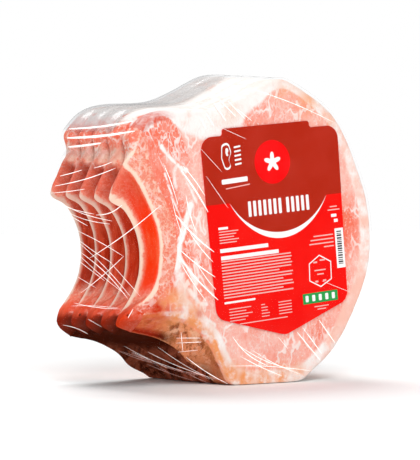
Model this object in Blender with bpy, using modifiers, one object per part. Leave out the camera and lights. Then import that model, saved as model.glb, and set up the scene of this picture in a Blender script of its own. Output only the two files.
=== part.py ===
# Five bone-in pork chops standing on edge as one stack, wrapped in clear film, with a label under the film.
# Sizes below are in millimetres and the model is in metres, +Z up, with the cut faces towards -Y and +Y.
# A chop is drawn in the X-Z plane: its bone side is at -X and its rim of fat at +X.

import math
import random

import bmesh
import bpy
import numpy as np

MM = 0.001

SLICE_COUNT = 5
SLICE_PITCH = 12.4          # front face to front face
SLICE_GAP = 0.3             # air between neighbouring chops
SLICE_GROWTH = 0.006        # each chop is this much larger than the one in front of it
STACK_DEPTH = SLICE_COUNT * SLICE_PITCH
OUTLINE_STEP = 5.6          # longest step between two points of an outline
ROUNDING_STATIONS = (0.0, 0.07, 0.25, 0.75, 0.93, 1.0)   # shares of a chop's thickness

WOBBLE = 0.6                # how far the knife and the meat stray from the drawn outline
WOBBLE_WAVES = (2, 3, 5)
WOBBLE_SEED = 41
FLAT_FADE = 9.0             # the stray fades out over this height above the table

BONE_GAP = 0.3              # between a bone and its meat
SEAM_STEPS = 2              # curve points from one row of the seam to the next

LABEL_GAP = 0.3             # between the front chop and the label
LABEL_THICKNESS = 0.4
LABEL_CENTRE = (14.6, 79.0)
LABEL_TURN = 5.5            # degrees, anticlockwise seen from the front
LABEL_TOP_HALF = 41.5
LABEL_BOTTOM_HALF = 40.0
LABEL_SHOULDER = 45.5       # top edge beside the tab, above the label's centre
LABEL_TAB = (-28.5, 24.0, 48.9)   # left end, right end, top
LABEL_FOOT = -42.5          # lower corners
LABEL_POINT = -55.5         # tip of the shallow V
LABEL_CORNER = 6.5
LABEL_TAB_CORNER = 1.4
LABEL_POINT_CORNER = 9.0
ARC_STEPS = 5

FILM_CLEARANCE = 1.0        # from the meat to the film
FILM_THICKNESS = 0.4
FILM_RAYS = 96
FILM_CENTRE = (-5.0, 72.0)
FILM_FACE_INSET = 2.2       # the film turns this far inside its own edge on to the cut faces
FILM_TURN_DEPTH = 1.2
FILM_OPENING = 0.8          # the film stops this high, round the flat that the chops stand on
FILM_SCAN_STEP = 0.5        # outline points this close together hold the film off
FILM_SCAN_RAYS = 4          # fine rays for each ray of the film
FILM_GRIP = 0.76            # a chop holds the film off this share of a pitch past its own faces

# Outline of a chop, clockwise from the top of the bone's knob:
# name, x, z on the front face, shift of x and z to the back face, rounding of the two edges
OUTLINE = (
    ("knob_top", -65.6, 124.8, 0.5, 0.0, 3.4),
    ("shoulder", -59.0, 130.4, 0.5, 0.5, 3.5),
    ("upper_left", -47.0, 133.2, 0.0, 1.5, 3.0),
    ("upper_mid", -22.0, 135.2, 0.0, 1.5, 2.5),
    ("crest_left", -6.5, 141.0, 0.0, 1.0, 2.2),
    ("crest", 13.4, 149.7, 0.0, 0.5, 2.2),
    ("crest_right", 27.2, 146.2, 0.0, 0.5, 2.2),
    ("fat_high", 48.0, 129.6, 0.0, 0.0, 2.2),
    ("fat_upper", 65.8, 101.0, 0.0, 0.0, 2.2),
    ("fat_mid", 71.8, 71.0, 0.0, 0.0, 2.2),
    ("fat_lower", 70.0, 46.0, 0.0, 0.0, 2.2),
    ("fat_low", 58.0, 26.8, 0.0, 0.0, 2.2),
    ("fat_foot", 36.0, 6.6, 0.0, 0.0, 2.0),
    ("flat_right", 23.0, 0.0, 0.0, 0.0, 1.6),
    ("flat_left", -9.0, 0.0, -2.0, 0.0, 1.6),
    ("belly_low", -19.7, 12.0, 0.0, -6.5, 2.2),
    ("belly_mid", -25.2, 23.4, -5.0, -14.5, 2.2),
    ("belly_high", -36.6, 31.9, -1.5, -17.0, 2.2),
    ("belly_end", -50.0, 34.2, 0.5, -11.5, 2.0),
    ("seam_bottom", -63.3, 34.6, 1.0, -7.2, 1.8),
    ("prong", -75.0, 35.0, 4.5, -1.5, 1.6),
    ("prong_upper", -70.5, 37.9, 0.7, -1.5, 1.4),
    ("rib_foot", -60.5, 45.0, -6.0, -5.2, 1.6),
    ("rib_low", -56.0, 52.5, -6.5, -6.5, 1.8),
    ("rib_mid", -54.3, 64.3, -5.0, -9.7, 2.0),
    ("rib_high", -55.4, 76.2, -3.2, -11.2, 2.0),
    ("rib_head", -61.0, 89.6, 0.4, -14.6, 1.8),
    ("tip_upper", -68.3, 101.8, 1.8, -16.8, 1.5),
    ("tip", -74.4, 106.5, -0.8, -15.5, 1.2),
    ("neck_low", -72.4, 110.5, 4.4, -6.0, 2.0),
    ("neck", -69.6, 114.1, 3.1, -1.5, 2.6),
    ("knob", -69.2, 119.6, 0.5, 0.0, 3.6),
)

# Where the bone strip meets the meat, from the knob down: x, z, shift of x and z to the back face
SEAM = (
    (-60.6, 118.5, 0.5, 0.0),
    (-59.4, 108.5, 0.5, -1.0),
    (-54.5, 97.5, 0.5, -2.0),
    (-48.2, 85.5, 0.0, -3.0),
    (-44.2, 72.0, -0.5, -3.0),
    (-44.6, 60.0, -1.0, -3.0),
    (-49.0, 49.5, -1.0, -3.5),
    (-56.6, 41.2, 0.0, -4.5),
)

MEAT_COLOUR = (0.80, 0.32, 0.27)
BONE_COLOUR = (0.82, 0.50, 0.42)
LABEL_COLOUR = (0.72, 0.01, 0.012)
FILM_COLOUR = (0.95, 0.95, 0.96)


def clear_scene():
    for obj in list(bpy.data.objects):
        bpy.data.objects.remove(obj, do_unlink=True)
    for collection in list(bpy.data.collections):
        bpy.data.collections.remove(collection)


def make_material(name, colour, roughness, alpha=1.0):
    material = bpy.data.materials.new(name)
    material.use_nodes = True
    shader = material.node_tree.nodes["Principled BSDF"]
    shader.inputs["Base Color"].default_value = (*colour, 1.0)
    shader.inputs["Roughness"].default_value = roughness
    shader.inputs["Metallic"].default_value = 0.0
    shader.inputs["Alpha"].default_value = alpha
    return material


def add_object(name, data, material, collection, parent):
    obj = bpy.data.objects.new(name, data)
    obj.data.materials.append(material)
    obj.parent = parent
    collection.objects.link(obj)
    return obj


# Curves through landmarks

def spline_point(p0, p1, p2, p3, u):
    """Catmull-Rom curve from p1 to p2."""
    return 0.5 * (2 * p1 + (p2 - p0) * u + (2 * p0 - 5 * p1 + 4 * p2 - p3) * u**2
                  + (3 * p1 - p0 - 3 * p2 + p3) * u**3)


def steps_between(a, b):
    return max(1, math.ceil(math.dist(a[:2], b[:2]) / OUTLINE_STEP))


def closed_spline(rows):
    """Rows sampled along the closed curve through them, and the sample that each row became."""
    count = len(rows)
    samples = []
    places = []
    for i in range(count):
        places.append(len(samples))
        steps = steps_between(rows[i], rows[(i + 1) % count])
        neighbours = [rows[(i + k) % count] for k in (-1, 0, 1, 2)]
        samples += [spline_point(*neighbours, step / steps) for step in range(steps)]
    return np.array(samples), places


def open_spline(rows):
    """The inner samples of the curve from the first row to the last, both left out."""
    ends = [2 * rows[0] - rows[1], *rows, 2 * rows[-1] - rows[-2]]
    samples = []
    for i in range(1, len(rows)):
        samples += [spline_point(*ends[i - 1:i + 3], step / SEAM_STEPS) for step in range(SEAM_STEPS)]
    return np.array(samples[1:])


def outward(points):
    """Unit normals of a clockwise outline, pointing out of it."""
    along = np.roll(points, -1, axis=0) - np.roll(points, 1, axis=0)
    normals = np.stack([-along[:, 1], along[:, 0]], axis=1)
    return normals / np.linalg.norm(normals, axis=1, keepdims=True)


# One chop

def wobble(slice_index, count):
    """A slow stray in and out along the outline, different for each chop."""
    draw = random.Random(WOBBLE_SEED + slice_index)
    share = np.arange(count) / count * 2 * math.pi
    waves = [np.cos(wave * share + draw.uniform(0, 2 * math.pi)) for wave in WOBBLE_WAVES]
    return WOBBLE * sum(waves) / len(waves)


def edge_inset(rounding, depth):
    """How far a rounded edge lies inside the full outline at a depth under the cut face."""
    inside = np.clip(rounding - depth, 0.0, None)
    return rounding - np.sqrt(rounding**2 - inside**2)


def chop_rings(slice_index):
    """For each station through the chop: y, outline, seam, and the two samples where the seam ends."""
    rows = np.array([row[1:] for row in OUTLINE])
    samples, places = closed_spline(rows)
    names = [row[0] for row in OUTLINE]
    top = places[names.index("knob_top")]
    bottom = places[names.index("seam_bottom")]
    seam_rows = np.array(SEAM)

    thickness = SLICE_PITCH - SLICE_GAP
    front = -STACK_DEPTH / 2 + slice_index * SLICE_PITCH + SLICE_GAP / 2
    growth = 1 + SLICE_GROWTH * slice_index
    stray = wobble(slice_index, len(samples))
    rings = []
    for station in ROUNDING_STATIONS:
        outline = samples[:, 0:2] + samples[:, 2:4] * station
        depth = min(station, 1 - station) * thickness
        low = np.clip(outline[:, 1] / FLAT_FADE, 0.0, 1.0)
        out = outward(outline)
        outline = outline + out * (stray * low - edge_inset(samples[:, 4], depth))[:, None]
        outline[:, 1] = np.clip(outline[:, 1], 0.0, None)
        through = seam_rows[:, 0:2] + seam_rows[:, 2:4] * station
        seam = open_spline(np.array([outline[top], *through, outline[bottom]]))
        rings.append((front + station * thickness, outline * growth, seam * growth))
    return rings, top, bottom


def split_ring(outline, seam, top, bottom):
    """The closed loops of the meat and of the bone, half a gap to either side of the seam."""
    line = np.array([outline[top], *seam, outline[bottom]])
    along = np.gradient(line, axis=0)
    side = np.stack([-along[:, 1], along[:, 0]], axis=1)
    side = side / np.linalg.norm(side, axis=1, keepdims=True) * (BONE_GAP / 2)
    meat_seam = line + side
    bone_seam = line - side
    meat = np.concatenate([outline[top + 1:bottom], meat_seam[::-1]])
    bone = np.concatenate([bone_seam, outline[bottom + 1:], outline[:top]])
    return meat, bone


def loft(name, rings):
    """A closed mesh through loops of equal length, given as (y, loop) from front to back."""
    mesh_edit = bmesh.new()
    loops = []
    for y, loop in rings:
        loops.append([mesh_edit.verts.new((x * MM, y * MM, z * MM)) for x, z in loop])
    for near, far in zip(loops, loops[1:]):
        for i in range(len(near)):
            j = (i + 1) % len(near)
            mesh_edit.faces.new((near[i], near[j], far[j], far[i]))
    mesh_edit.faces.new(loops[0])
    mesh_edit.faces.new(reversed(loops[-1]))
    bmesh.ops.recalc_face_normals(mesh_edit, faces=mesh_edit.faces)
    bmesh.ops.triangulate(mesh_edit, faces=mesh_edit.faces)
    mesh = bpy.data.meshes.new(name)
    mesh_edit.to_mesh(mesh)
    mesh_edit.free()
    return mesh


def make_chop(slice_index, materials, collection, parent):
    rings, top, bottom = chop_rings(slice_index)
    meat_rings = []
    bone_rings = []
    for y, outline, seam in rings:
        meat, bone = split_ring(outline, seam, top, bottom)
        meat_rings.append((y, meat))
        bone_rings.append((y, bone))
    for kind, loops in (("meat", meat_rings), ("bone", bone_rings)):
        name = f"chop_{slice_index + 1}_{kind}"
        chop = add_object(name, loft(name, loops), materials[kind], collection, parent)
        chop.data.shade_smooth()
        chop.data.set_sharp_from_angle(angle=math.radians(50))


# The label

def rounded_corner(before, corner, after, radius):
    """Points of an arc that rounds one corner of a polygon."""
    towards_before = (before - corner) / np.linalg.norm(before - corner)
    towards_after = (after - corner) / np.linalg.norm(after - corner)
    half = math.acos(np.clip(towards_before @ towards_after, -1, 1)) / 2
    reach = radius / math.tan(half)
    middle = towards_before + towards_after
    centre = corner + middle / np.linalg.norm(middle) * radius / math.sin(half)
    start = corner + towards_before * reach - centre
    end = corner + towards_after * reach - centre
    points = []
    for step in range(ARC_STEPS + 1):
        mixed = start * (1 - step / ARC_STEPS) + end * step / ARC_STEPS
        points.append(centre + mixed / np.linalg.norm(mixed) * radius)
    return points


def label_outline():
    tab_left, tab_right, tab_top = LABEL_TAB
    corners = (
        (-LABEL_TOP_HALF, LABEL_SHOULDER, LABEL_CORNER),
        (tab_left, LABEL_SHOULDER, LABEL_TAB_CORNER),
        (tab_left, tab_top, LABEL_TAB_CORNER),
        (tab_right, tab_top, LABEL_TAB_CORNER),
        (tab_right, LABEL_SHOULDER, LABEL_TAB_CORNER),
        (LABEL_TOP_HALF, LABEL_SHOULDER, LABEL_CORNER),
        (LABEL_BOTTOM_HALF, LABEL_FOOT, LABEL_CORNER),
        (0.0, LABEL_POINT, LABEL_POINT_CORNER),
        (-LABEL_BOTTOM_HALF, LABEL_FOOT, LABEL_CORNER),
    )
    points = []
    for i, (x, z, radius) in enumerate(corners):
        before = np.array(corners[i - 1][:2])
        after = np.array(corners[(i + 1) % len(corners)][:2])
        points += rounded_corner(before, np.array((x, z)), after, radius)
    return points


def make_label(material, collection, parent):
    curve = bpy.data.curves.new("label", "CURVE")
    curve.dimensions = "2D"
    curve.fill_mode = "BOTH"
    curve.extrude = LABEL_THICKNESS / 2 * MM
    points = label_outline()
    spline = curve.splines.new("POLY")
    spline.points.add(len(points) - 1)
    for point, (x, z) in zip(spline.points, points):
        point.co = (x * MM, z * MM, 0, 1)
    spline.use_cyclic_u = True
    label = add_object("label", curve, material, collection, parent)
    front = -STACK_DEPTH / 2 + SLICE_GAP / 2
    middle = front - LABEL_GAP - LABEL_THICKNESS / 2
    label.location = (LABEL_CENTRE[0] * MM, middle * MM, LABEL_CENTRE[1] * MM)
    label.rotation_euler = (math.pi / 2, -math.radians(LABEL_TURN), 0)


# The film

def dense(points):
    """The outline with extra points, so that no ray slips between two of them."""
    filled = []
    for a, b in zip(points, np.roll(points, -1, axis=0)):
        steps = max(1, math.ceil(math.dist(a, b) / FILM_SCAN_STEP))
        filled += [a + (b - a) * step / steps for step in range(steps)]
    return np.array(filled)


def film_reach(points):
    """How far the stretched film lies from its centre along each ray, held off by the points beside it."""
    spokes = points - np.array(FILM_CENTRE)
    fine_rays = FILM_RAYS * FILM_SCAN_RAYS
    reach = []
    for ray in range(fine_rays):
        angle = ray / fine_rays * 2 * math.pi
        direction = np.array((math.cos(angle), math.sin(angle)))
        along = spokes @ direction
        across = spokes[:, 0] * direction[1] - spokes[:, 1] * direction[0]
        near = (np.abs(across) < FILM_CLEARANCE) & (along > 0)
        reach.append(np.max(along[near] + np.sqrt(FILM_CLEARANCE**2 - across[near]**2)))
    neighbours = [np.roll(reach, shift) for shift in range(-FILM_SCAN_RAYS, FILM_SCAN_RAYS + 1)]
    return np.max(neighbours, axis=0)[::FILM_SCAN_RAYS]


def film_rings():
    """(y, loop) of the film's inner side, from the front cut face to the back one."""
    rings = [ring for i in range(SLICE_COUNT) for ring in chop_rings(i)[0]]
    reaches = []
    for edge in range(SLICE_COUNT + 1):
        plane = -STACK_DEPTH / 2 + edge * SLICE_PITCH
        beside = [dense(outline) for y, outline, _ in rings if abs(y - plane) < FILM_GRIP * SLICE_PITCH]
        reaches.append(film_reach(np.concatenate(beside)))
    angles = np.arange(FILM_RAYS) / FILM_RAYS * 2 * math.pi
    spokes = np.stack([np.cos(angles), np.sin(angles)], axis=1)
    front = -STACK_DEPTH / 2
    back = STACK_DEPTH / 2
    stops = [(front - FILM_CLEARANCE, reaches[0] - FILM_FACE_INSET)]
    stops.append((front + FILM_TURN_DEPTH, reaches[0]))
    stops += [(front + edge * SLICE_PITCH, reaches[edge]) for edge in range(1, SLICE_COUNT)]
    stops.append((back - FILM_TURN_DEPTH, reaches[-1]))
    stops.append((back + FILM_CLEARANCE, reaches[-1] - FILM_FACE_INSET))
    return [(y, np.array(FILM_CENTRE) + spokes * reach[:, None]) for y, reach in stops]


def make_film(material, collection, parent):
    mesh_edit = bmesh.new()
    loops = []
    for y, loop in film_rings():
        loops.append([mesh_edit.verts.new((x * MM, y * MM, z * MM)) for x, z in loop])
    for near, far in zip(loops, loops[1:]):
        for i in range(FILM_RAYS):
            j = (i + 1) % FILM_RAYS
            mesh_edit.faces.new((near[i], near[j], far[j], far[i]))
    for loop in (loops[0], loops[-1]):
        middle = mesh_edit.verts.new((FILM_CENTRE[0] * MM, loop[0].co.y, FILM_CENTRE[1] * MM))
        for i in range(FILM_RAYS):
            mesh_edit.faces.new((loop[i], loop[(i + 1) % FILM_RAYS], middle))
    bmesh.ops.recalc_face_normals(mesh_edit, faces=mesh_edit.faces)
    everything = mesh_edit.verts[:] + mesh_edit.edges[:] + mesh_edit.faces[:]
    bmesh.ops.bisect_plane(mesh_edit, geom=everything, dist=1e-6, plane_co=(0, 0, FILM_OPENING * MM),
                           plane_no=(0, 0, -1), clear_outer=True)
    bmesh.ops.triangulate(mesh_edit, faces=mesh_edit.faces)
    mesh = bpy.data.meshes.new("film_wrap")
    mesh_edit.to_mesh(mesh)
    mesh_edit.free()
    film = add_object("film_wrap", mesh, material, collection, parent)
    shell = film.modifiers.new("shell", "SOLIDIFY")
    shell.thickness = FILM_THICKNESS * MM
    shell.offset = 1.0
    shell.use_rim = True
    film.data.shade_smooth()
    film.data.set_sharp_from_angle(angle=math.radians(50))


def pack_middle():
    """The middle of the wrapped pack along X, which goes over the origin."""
    across = np.concatenate([loop[:, 0] for _, loop in film_rings()])
    return (across.min() + across.max()) / 2


def build():
    clear_scene()
    collection = bpy.data.collections.new("wrapped_pork_chops")
    bpy.context.scene.collection.children.link(collection)
    origin = bpy.data.objects.new("pack_origin", None)
    collection.objects.link(origin)
    origin.location.x = -pack_middle() * MM

    meat = make_material("meat", MEAT_COLOUR, 0.45)
    bone = make_material("bone", BONE_COLOUR, 0.5)
    for slice_index in range(SLICE_COUNT):
        make_chop(slice_index, {"meat": meat, "bone": bone}, collection, origin)
    make_label(make_material("label", LABEL_COLOUR, 0.35), collection, origin)
    make_film(make_material("film", FILM_COLOUR, 0.08, alpha=0.2), collection, origin)


build()
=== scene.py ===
import math
import random

import bmesh
import bpy
import numpy as np
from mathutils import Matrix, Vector, noise as fieldNoise
from mathutils.bvhtree import BVHTree
from mathutils.geometry import delaunay_2d_cdt


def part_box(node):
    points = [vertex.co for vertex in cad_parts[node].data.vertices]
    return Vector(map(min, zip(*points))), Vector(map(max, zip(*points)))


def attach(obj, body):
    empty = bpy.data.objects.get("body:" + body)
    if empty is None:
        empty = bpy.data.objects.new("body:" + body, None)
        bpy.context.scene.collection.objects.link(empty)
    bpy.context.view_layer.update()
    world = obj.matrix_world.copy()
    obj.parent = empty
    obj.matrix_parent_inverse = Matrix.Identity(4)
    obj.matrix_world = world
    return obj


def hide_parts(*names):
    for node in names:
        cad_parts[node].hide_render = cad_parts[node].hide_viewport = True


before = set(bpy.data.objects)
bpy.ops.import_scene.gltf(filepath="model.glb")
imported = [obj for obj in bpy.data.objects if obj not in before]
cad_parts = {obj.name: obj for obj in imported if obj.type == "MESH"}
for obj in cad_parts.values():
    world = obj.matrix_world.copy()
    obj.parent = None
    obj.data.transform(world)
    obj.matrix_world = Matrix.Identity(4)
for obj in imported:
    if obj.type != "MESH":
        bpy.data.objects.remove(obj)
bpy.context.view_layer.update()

mm = 0.001
scene = bpy.context.scene

# Camera and pixels

photo = {
    "height": 460,           # pixels
    "focal": 2200.0,
    "aimPixel": (210, 230),
    "left": 34.0,            # degrees to the left of the cut face
    "above": 0.8,            # degrees above the horizon
    "distance": 1062.8,      # mm from the aim point
    "aim": (-23.0, -31.0, 76.0),   # mm
    "sensor": 36.0,          # mm
    "clipStart": 0.05,       # metres
}


def newObject(name, data):
    made = bpy.data.objects.new(name, data)
    scene.collection.objects.link(made)
    return made


def direction(right, up):
    # away from the pack, in degrees to the right of the cut face's front and in degrees up
    turn, rise = math.radians(right), math.radians(up)
    return Vector((math.sin(turn) * math.cos(rise), -math.cos(turn) * math.cos(rise), math.sin(rise)))


def makeCamera():
    back = direction(-photo["left"], photo["above"])
    cameraData = bpy.data.cameras.new("camera")
    cameraData.sensor_width = photo["sensor"]
    cameraData.lens = photo["focal"] * photo["sensor"] / photo["height"]
    cameraData.clip_start = photo["clipStart"]
    camera = newObject("camera", cameraData)
    camera.location = (Vector(photo["aim"]) + back * photo["distance"]) * mm
    camera.rotation_euler = (-back).to_track_quat("-Z", "Y").to_euler()
    scene.camera = camera
    bpy.context.view_layer.update()
    return camera


camera = makeCamera()


def pixelRay(px, py):
    # direction from the camera through a pixel of the photograph
    x, y = photo["aimPixel"]
    inCamera = Vector(((px - x) / photo["focal"], (y - py) / photo["focal"], -1.0))
    return (camera.matrix_world.to_3x3() @ inCamera).normalized()


print("camera ready")

# Node helpers


def setInputs(tree, node, inputs):
    # each input gets a link or a value
    for name, value in inputs.items():
        if isinstance(value, bpy.types.NodeSocket):
            tree.links.new(value, node.inputs[name])
        else:
            node.inputs[name].default_value = value


def addNode(tree, kind, inputs=None, **settings):
    made = tree.nodes.new(kind)
    for name, value in settings.items():
        setattr(made, name, value)
    setInputs(tree, made, inputs or {})
    return made


def colour(rgb):
    return (*rgb, 1.0)


def mixColour(tree, share, first, second):
    first, second = (colour(value) if isinstance(value, tuple) else value for value in (first, second))
    made = addNode(tree, "ShaderNodeMix", data_type="RGBA", clamp_factor=True)
    setInputs(tree, made, {0: share, 6: first, 7: second})
    return made.outputs[2]


def sums(tree, operation, *values, clamp=False):
    made = addNode(tree, "ShaderNodeMath", dict(enumerate(values)), operation=operation, use_clamp=clamp)
    return made.outputs[0]


def plus(tree, first, second, clamp=False):
    return sums(tree, "ADD", first, second, clamp=clamp)


def times(tree, first, second):
    return sums(tree, "MULTIPLY", first, second)


def ramp(tree, value, low, high, start=0.0, end=1.0):
    # value from low to high becomes start to end, smoothly
    made = addNode(tree, "ShaderNodeMapRange", {0: value, 1: low, 2: high, 3: start, 4: end},
                   interpolation_type="SMOOTHSTEP")
    return made.outputs[0]


def field(tree, name):
    return addNode(tree, "ShaderNodeAttribute", attribute_name=name).outputs["Fac"]


def objectPlace(tree, scale=(1, 1, 1), turn=(0, 0, 0)):
    place = addNode(tree, "ShaderNodeTexCoord").outputs["Object"]
    return addNode(tree, "ShaderNodeMapping", {"Vector": place, "Scale": scale, "Rotation": turn}).outputs[0]


def noise(tree, place, scale, detail=3.0, rough=0.55):
    inputs = {"Vector": place, "Scale": scale, "Detail": detail, "Roughness": rough}
    return addNode(tree, "ShaderNodeTexNoise", inputs).outputs["Fac"]


def patches(tree, place, grain, limits):
    # a noise of this scale, detail and roughness, ramped between these limits
    return ramp(tree, noise(tree, place, *grain), *limits)


def startMaterial(name):
    material = bpy.data.materials.new(name)
    material.use_nodes = True
    tree = material.node_tree
    return material, tree, tree.nodes["Principled BSDF"]


def finish(tree, shader, base, rough, gloss, bump=None):
    # bump: height, strength and distance
    setInputs(tree, shader, {"Base Color": base, "Roughness": rough, "Specular IOR Level": gloss})
    if bump:
        inputs = dict(zip(("Height", "Strength", "Distance"), bump))
        tree.links.new(addNode(tree, "ShaderNodeBump", inputs).outputs[0], shader.inputs["Normal"])


def faceOutwards(mesh):
    edit = bmesh.new()
    edit.from_mesh(mesh)
    bmesh.ops.recalc_face_normals(edit, faces=edit.faces)
    edit.to_mesh(mesh)
    edit.free()
    mesh.shade_smooth()


def band(first, second):
    # corners of the faces between two loops of equal counts
    steps = [(i, (i + 1) % len(first)) for i in range(len(first))]
    return [(first[i], first[j], second[j], second[i]) for i, j in steps]


# Shape of a chop, in mm, seen from the front with the bone at the left

stack = {
    "slices": 5,
    "pitch": 12.4,
    "gap": 0.3,
    "growth": 0.006,         # of each chop over the one before, from the anchor
    "anchor": 73.0,
    "sideShift": 1.95,       # the outline's x to the model's x
    "frontStep": 5.6,        # mm between outline points before they are refined
    "refine": 4,             # outline points for each of those
    "wobble": 0.6,
    "wobbleWaves": (2, 3, 5),
    "wobbleSeed": 41,
    "flatFade": 9.0,
    "lift": 0.35,            # the film lies under the chops
    "droop": (-0.8, -5.0),   # how far the rearmost belly hangs from its place, where the side is brown
    "seamGap": 0.004,        # half the line between bone and meat
    "capClear": 0.55,        # spacings between a cut face's edge and the points that fill it
    "stations": (            # shares of the thickness where the loft has a ring
        0.0, 0.012, 0.035, 0.07, 0.12, 0.18, 0.27, 0.4, 0.55, 0.7, 0.8, 0.87, 0.93, 0.965, 0.988, 1.0,
    ),
}

# name, x, z on the front face, shift of x and z to the back face, rounding,
# then the looks there: width of the white rim on the face, and fat, brown (partly painted shade), warm, rib
# and red on the side
chopOutline = (
    ("knobTop", -65.6, 124.8, 0.5, 0.0, 3.4, 0.3, 0.35, 0.0, 0.1, 0.0, 0.9),
    ("shoulder", -59.0, 130.4, 0.5, 0.5, 3.5, 2.2, 0.8, 0.0, 0.0, 0.0, 0.3),
    ("upperLeft", -47.0, 133.2, 0.0, 1.5, 3.0, 3.6, 1.0, 0.0, 0.0, 0.0, 0.0),
    ("upperMid", -22.0, 135.2, 0.0, 1.5, 2.5, 15.0, 1.0, 0.0, 0.0, 0.0, 0.0),
    ("crestLeft", -6.5, 141.0, 0.0, 1.0, 2.2, 6.5, 1.0, 0.0, 0.05, 0.0, 0.0),
    ("crest", 13.4, 149.7, 0.0, 0.5, 2.2, 2.6, 0.9, 0.0, 0.15, 0.0, 0.0),
    ("crestRight", 27.8, 146.9, 0.0, 0.5, 2.2, 2.2, 0.85, 0.0, 0.3, 0.0, 0.0),
    ("fatHigh", 52.0, 131.0, 0.0, 0.0, 2.2, 3.6, 0.95, 0.0, 0.1, 0.0, 0.0),
    ("fatUpper", 67.8, 101.6, 0.0, 0.0, 2.2, 4.8, 1.0, 0.0, 0.0, 0.0, 0.0),
    ("fatMid", 73.4, 80.0, -0.3, 0.0, 2.2, 5.0, 1.0, 0.0, 0.0, 0.0, 0.0),
    ("fatLower", 73.0, 57.0, -0.3, 0.0, 2.2, 5.4, 1.0, 0.0, 0.0, 0.0, 0.0),
    ("fatLow", 64.0, 34.5, 0.0, 0.0, 2.2, 5.6, 1.0, 0.0, 0.0, 0.0, 0.0),
    ("fatHeel", 52.6, 16.8, 0.0, 0.0, 2.2, 5.6, 1.0, 0.0, 0.0, 0.0, 0.0),
    ("fatFoot", 38.6, 5.4, 0.0, 0.0, 2.0, 5.4, 0.95, 0.05, 0.1, 0.0, 0.0),
    ("flatRight", 26.0, 0.0, 0.0, 0.0, 1.6, 6.0, 0.85, 0.1, 0.3, 0.0, 0.0),
    ("flatLeft", -9.0, 0.0, -2.0, 0.0, 1.6, 6.5, 0.5, 0.75, 0.8, 0.0, 0.0),
    ("bellyLow", -19.7, 12.0, 0.0, -6.5, 2.2, 4.5, 0.25, 1.0, 0.5, 0.0, 0.0),
    ("bellyMid", -25.2, 23.4, -5.0, -13.4, 2.2, 3.8, 0.2, 1.0, 0.25, 0.0, 0.0),
    ("bellyHigh", -36.6, 31.9, -1.5, -15.0, 2.2, 2.2, 0.2, 1.0, 0.35, 0.0, 0.0),
    ("bellyEnd", -50.0, 34.2, 0.5, -11.5, 2.0, 1.2, 0.15, 1.0, 0.85, 0.0, 0.2),
    ("seamBottom", -63.3, 34.2, 0.0, -7.8, 1.8, 0.8, 0.1, 1.0, 1.0, 0.1, 0.7),
    ("prong", -75.0, 34.0, 3.8, -4.2, 2.4, 1.0, 0.0, 0.4, 0.6, 0.1, 1.0),
    ("prongUpper", -71.6, 38.2, 1.5, -3.0, 1.6, 1.2, 0.0, 0.0, 0.5, 0.1, 0.9),
    ("ribFoot", -60.5, 45.0, -6.0, -5.2, 1.3, 1.6, 0.0, 0.0, 0.2, 0.25, 0.1),
    ("ribLow", -56.0, 52.5, -6.5, -6.5, 1.6, 1.2, 0.0, 0.0, 0.2, 0.95, 0.0),
    ("ribMid", -54.3, 64.3, -5.0, -9.7, 1.8, 0.9, 0.0, 0.0, 0.2, 1.0, 0.0),
    ("ribHigh", -55.4, 76.2, -3.2, -11.2, 1.8, 1.1, 0.0, 0.0, 0.2, 1.0, 0.0),
    ("ribHead", -61.0, 89.6, 0.4, -14.6, 1.6, 1.4, 0.0, 0.0, 0.2, 0.95, 0.0),
    ("tipUpper", -68.3, 101.8, 1.8, -16.8, 1.3, 1.6, 0.0, 0.0, 0.2, 0.8, 0.1),
    ("tip", -74.4, 106.5, -0.8, -15.5, 1.5, 1.2, 0.0, 0.0, 0.2, 0.25, 0.8),
    ("neckLow", -72.4, 110.5, 4.4, -6.0, 1.8, 0.6, 0.0, 0.0, 0.1, 0.0, 0.7),
    ("neck", -69.6, 114.1, 3.1, -1.5, 2.4, 0.4, 0.0, 0.0, 0.1, 0.0, 0.3),
    ("knob", -69.2, 119.6, 0.5, 0.0, 3.6, 0.3, 0.0, 0.0, 0.1, 0.0, 1.0),
)
chopSeam = (
    (-60.6, 118.5, 0.5, 0.0),
    (-59.4, 108.5, 0.5, -1.0),
    (-54.5, 97.5, 0.5, -2.0),
    (-48.2, 85.5, 0.0, -3.0),
    (-44.2, 72.0, -0.5, -3.0),
    (-44.6, 60.0, -1.0, -3.0),
    (-49.0, 49.5, -1.0, -3.5),
    (-56.6, 41.2, 0.0, -4.5),
)
# places of the looks in a sample
lookColumns = {"rim": 5, "fat": 6, "brown": 7, "warm": 8, "rib": 9, "red": 10, "seam": 11}


def splinePoint(p0, p1, p2, p3, u):
    return 0.5 * (2 * p1 + (p2 - p0) * u + (2 * p0 - 5 * p1 + 4 * p2 - p3) * u**2
                  + (3 * p1 - p0 - 3 * p2 + p3) * u**3)


def closedSpline(rows):
    samples = []
    places = []
    count = len(rows)
    for i in range(count):
        places.append(len(samples))
        after = rows[(i + 1) % count]
        coarse = max(1, math.ceil(math.dist(rows[i][:2], after[:2]) / stack["frontStep"]))
        steps = coarse * stack["refine"]
        around = [rows[(i + k) % count] for k in (-1, 0, 1, 2)]
        for step in range(steps):
            sample = splinePoint(*around, step / steps)
            sample[5:] = rows[i][5:] + (after[5:] - rows[i][5:]) * step / steps   # looks don't overshoot
            samples.append(sample)
    return np.array(samples), places


def openSpline(rows, steps):
    ends = [2 * rows[0] - rows[1], *rows, 2 * rows[-1] - rows[-2]]
    samples = []
    for i in range(len(rows) - 1):
        samples += [splinePoint(*ends[i:i + 4], step / steps) for step in range(steps)]
    return np.array(samples + [rows[-1]])


def outward(points):
    along = np.roll(points, -1, axis=0) - np.roll(points, 1, axis=0)
    normals = np.stack([-along[:, 1], along[:, 0]], axis=1)
    return normals / np.linalg.norm(normals, axis=1, keepdims=True)


def growthOf(index):
    # size of this chop over the front one, and the shift that keeps the anchor in its place
    growth = 1 + stack["growth"] * index
    return growth, np.array((stack["anchor"] * (1 - growth), 0.0))


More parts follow.
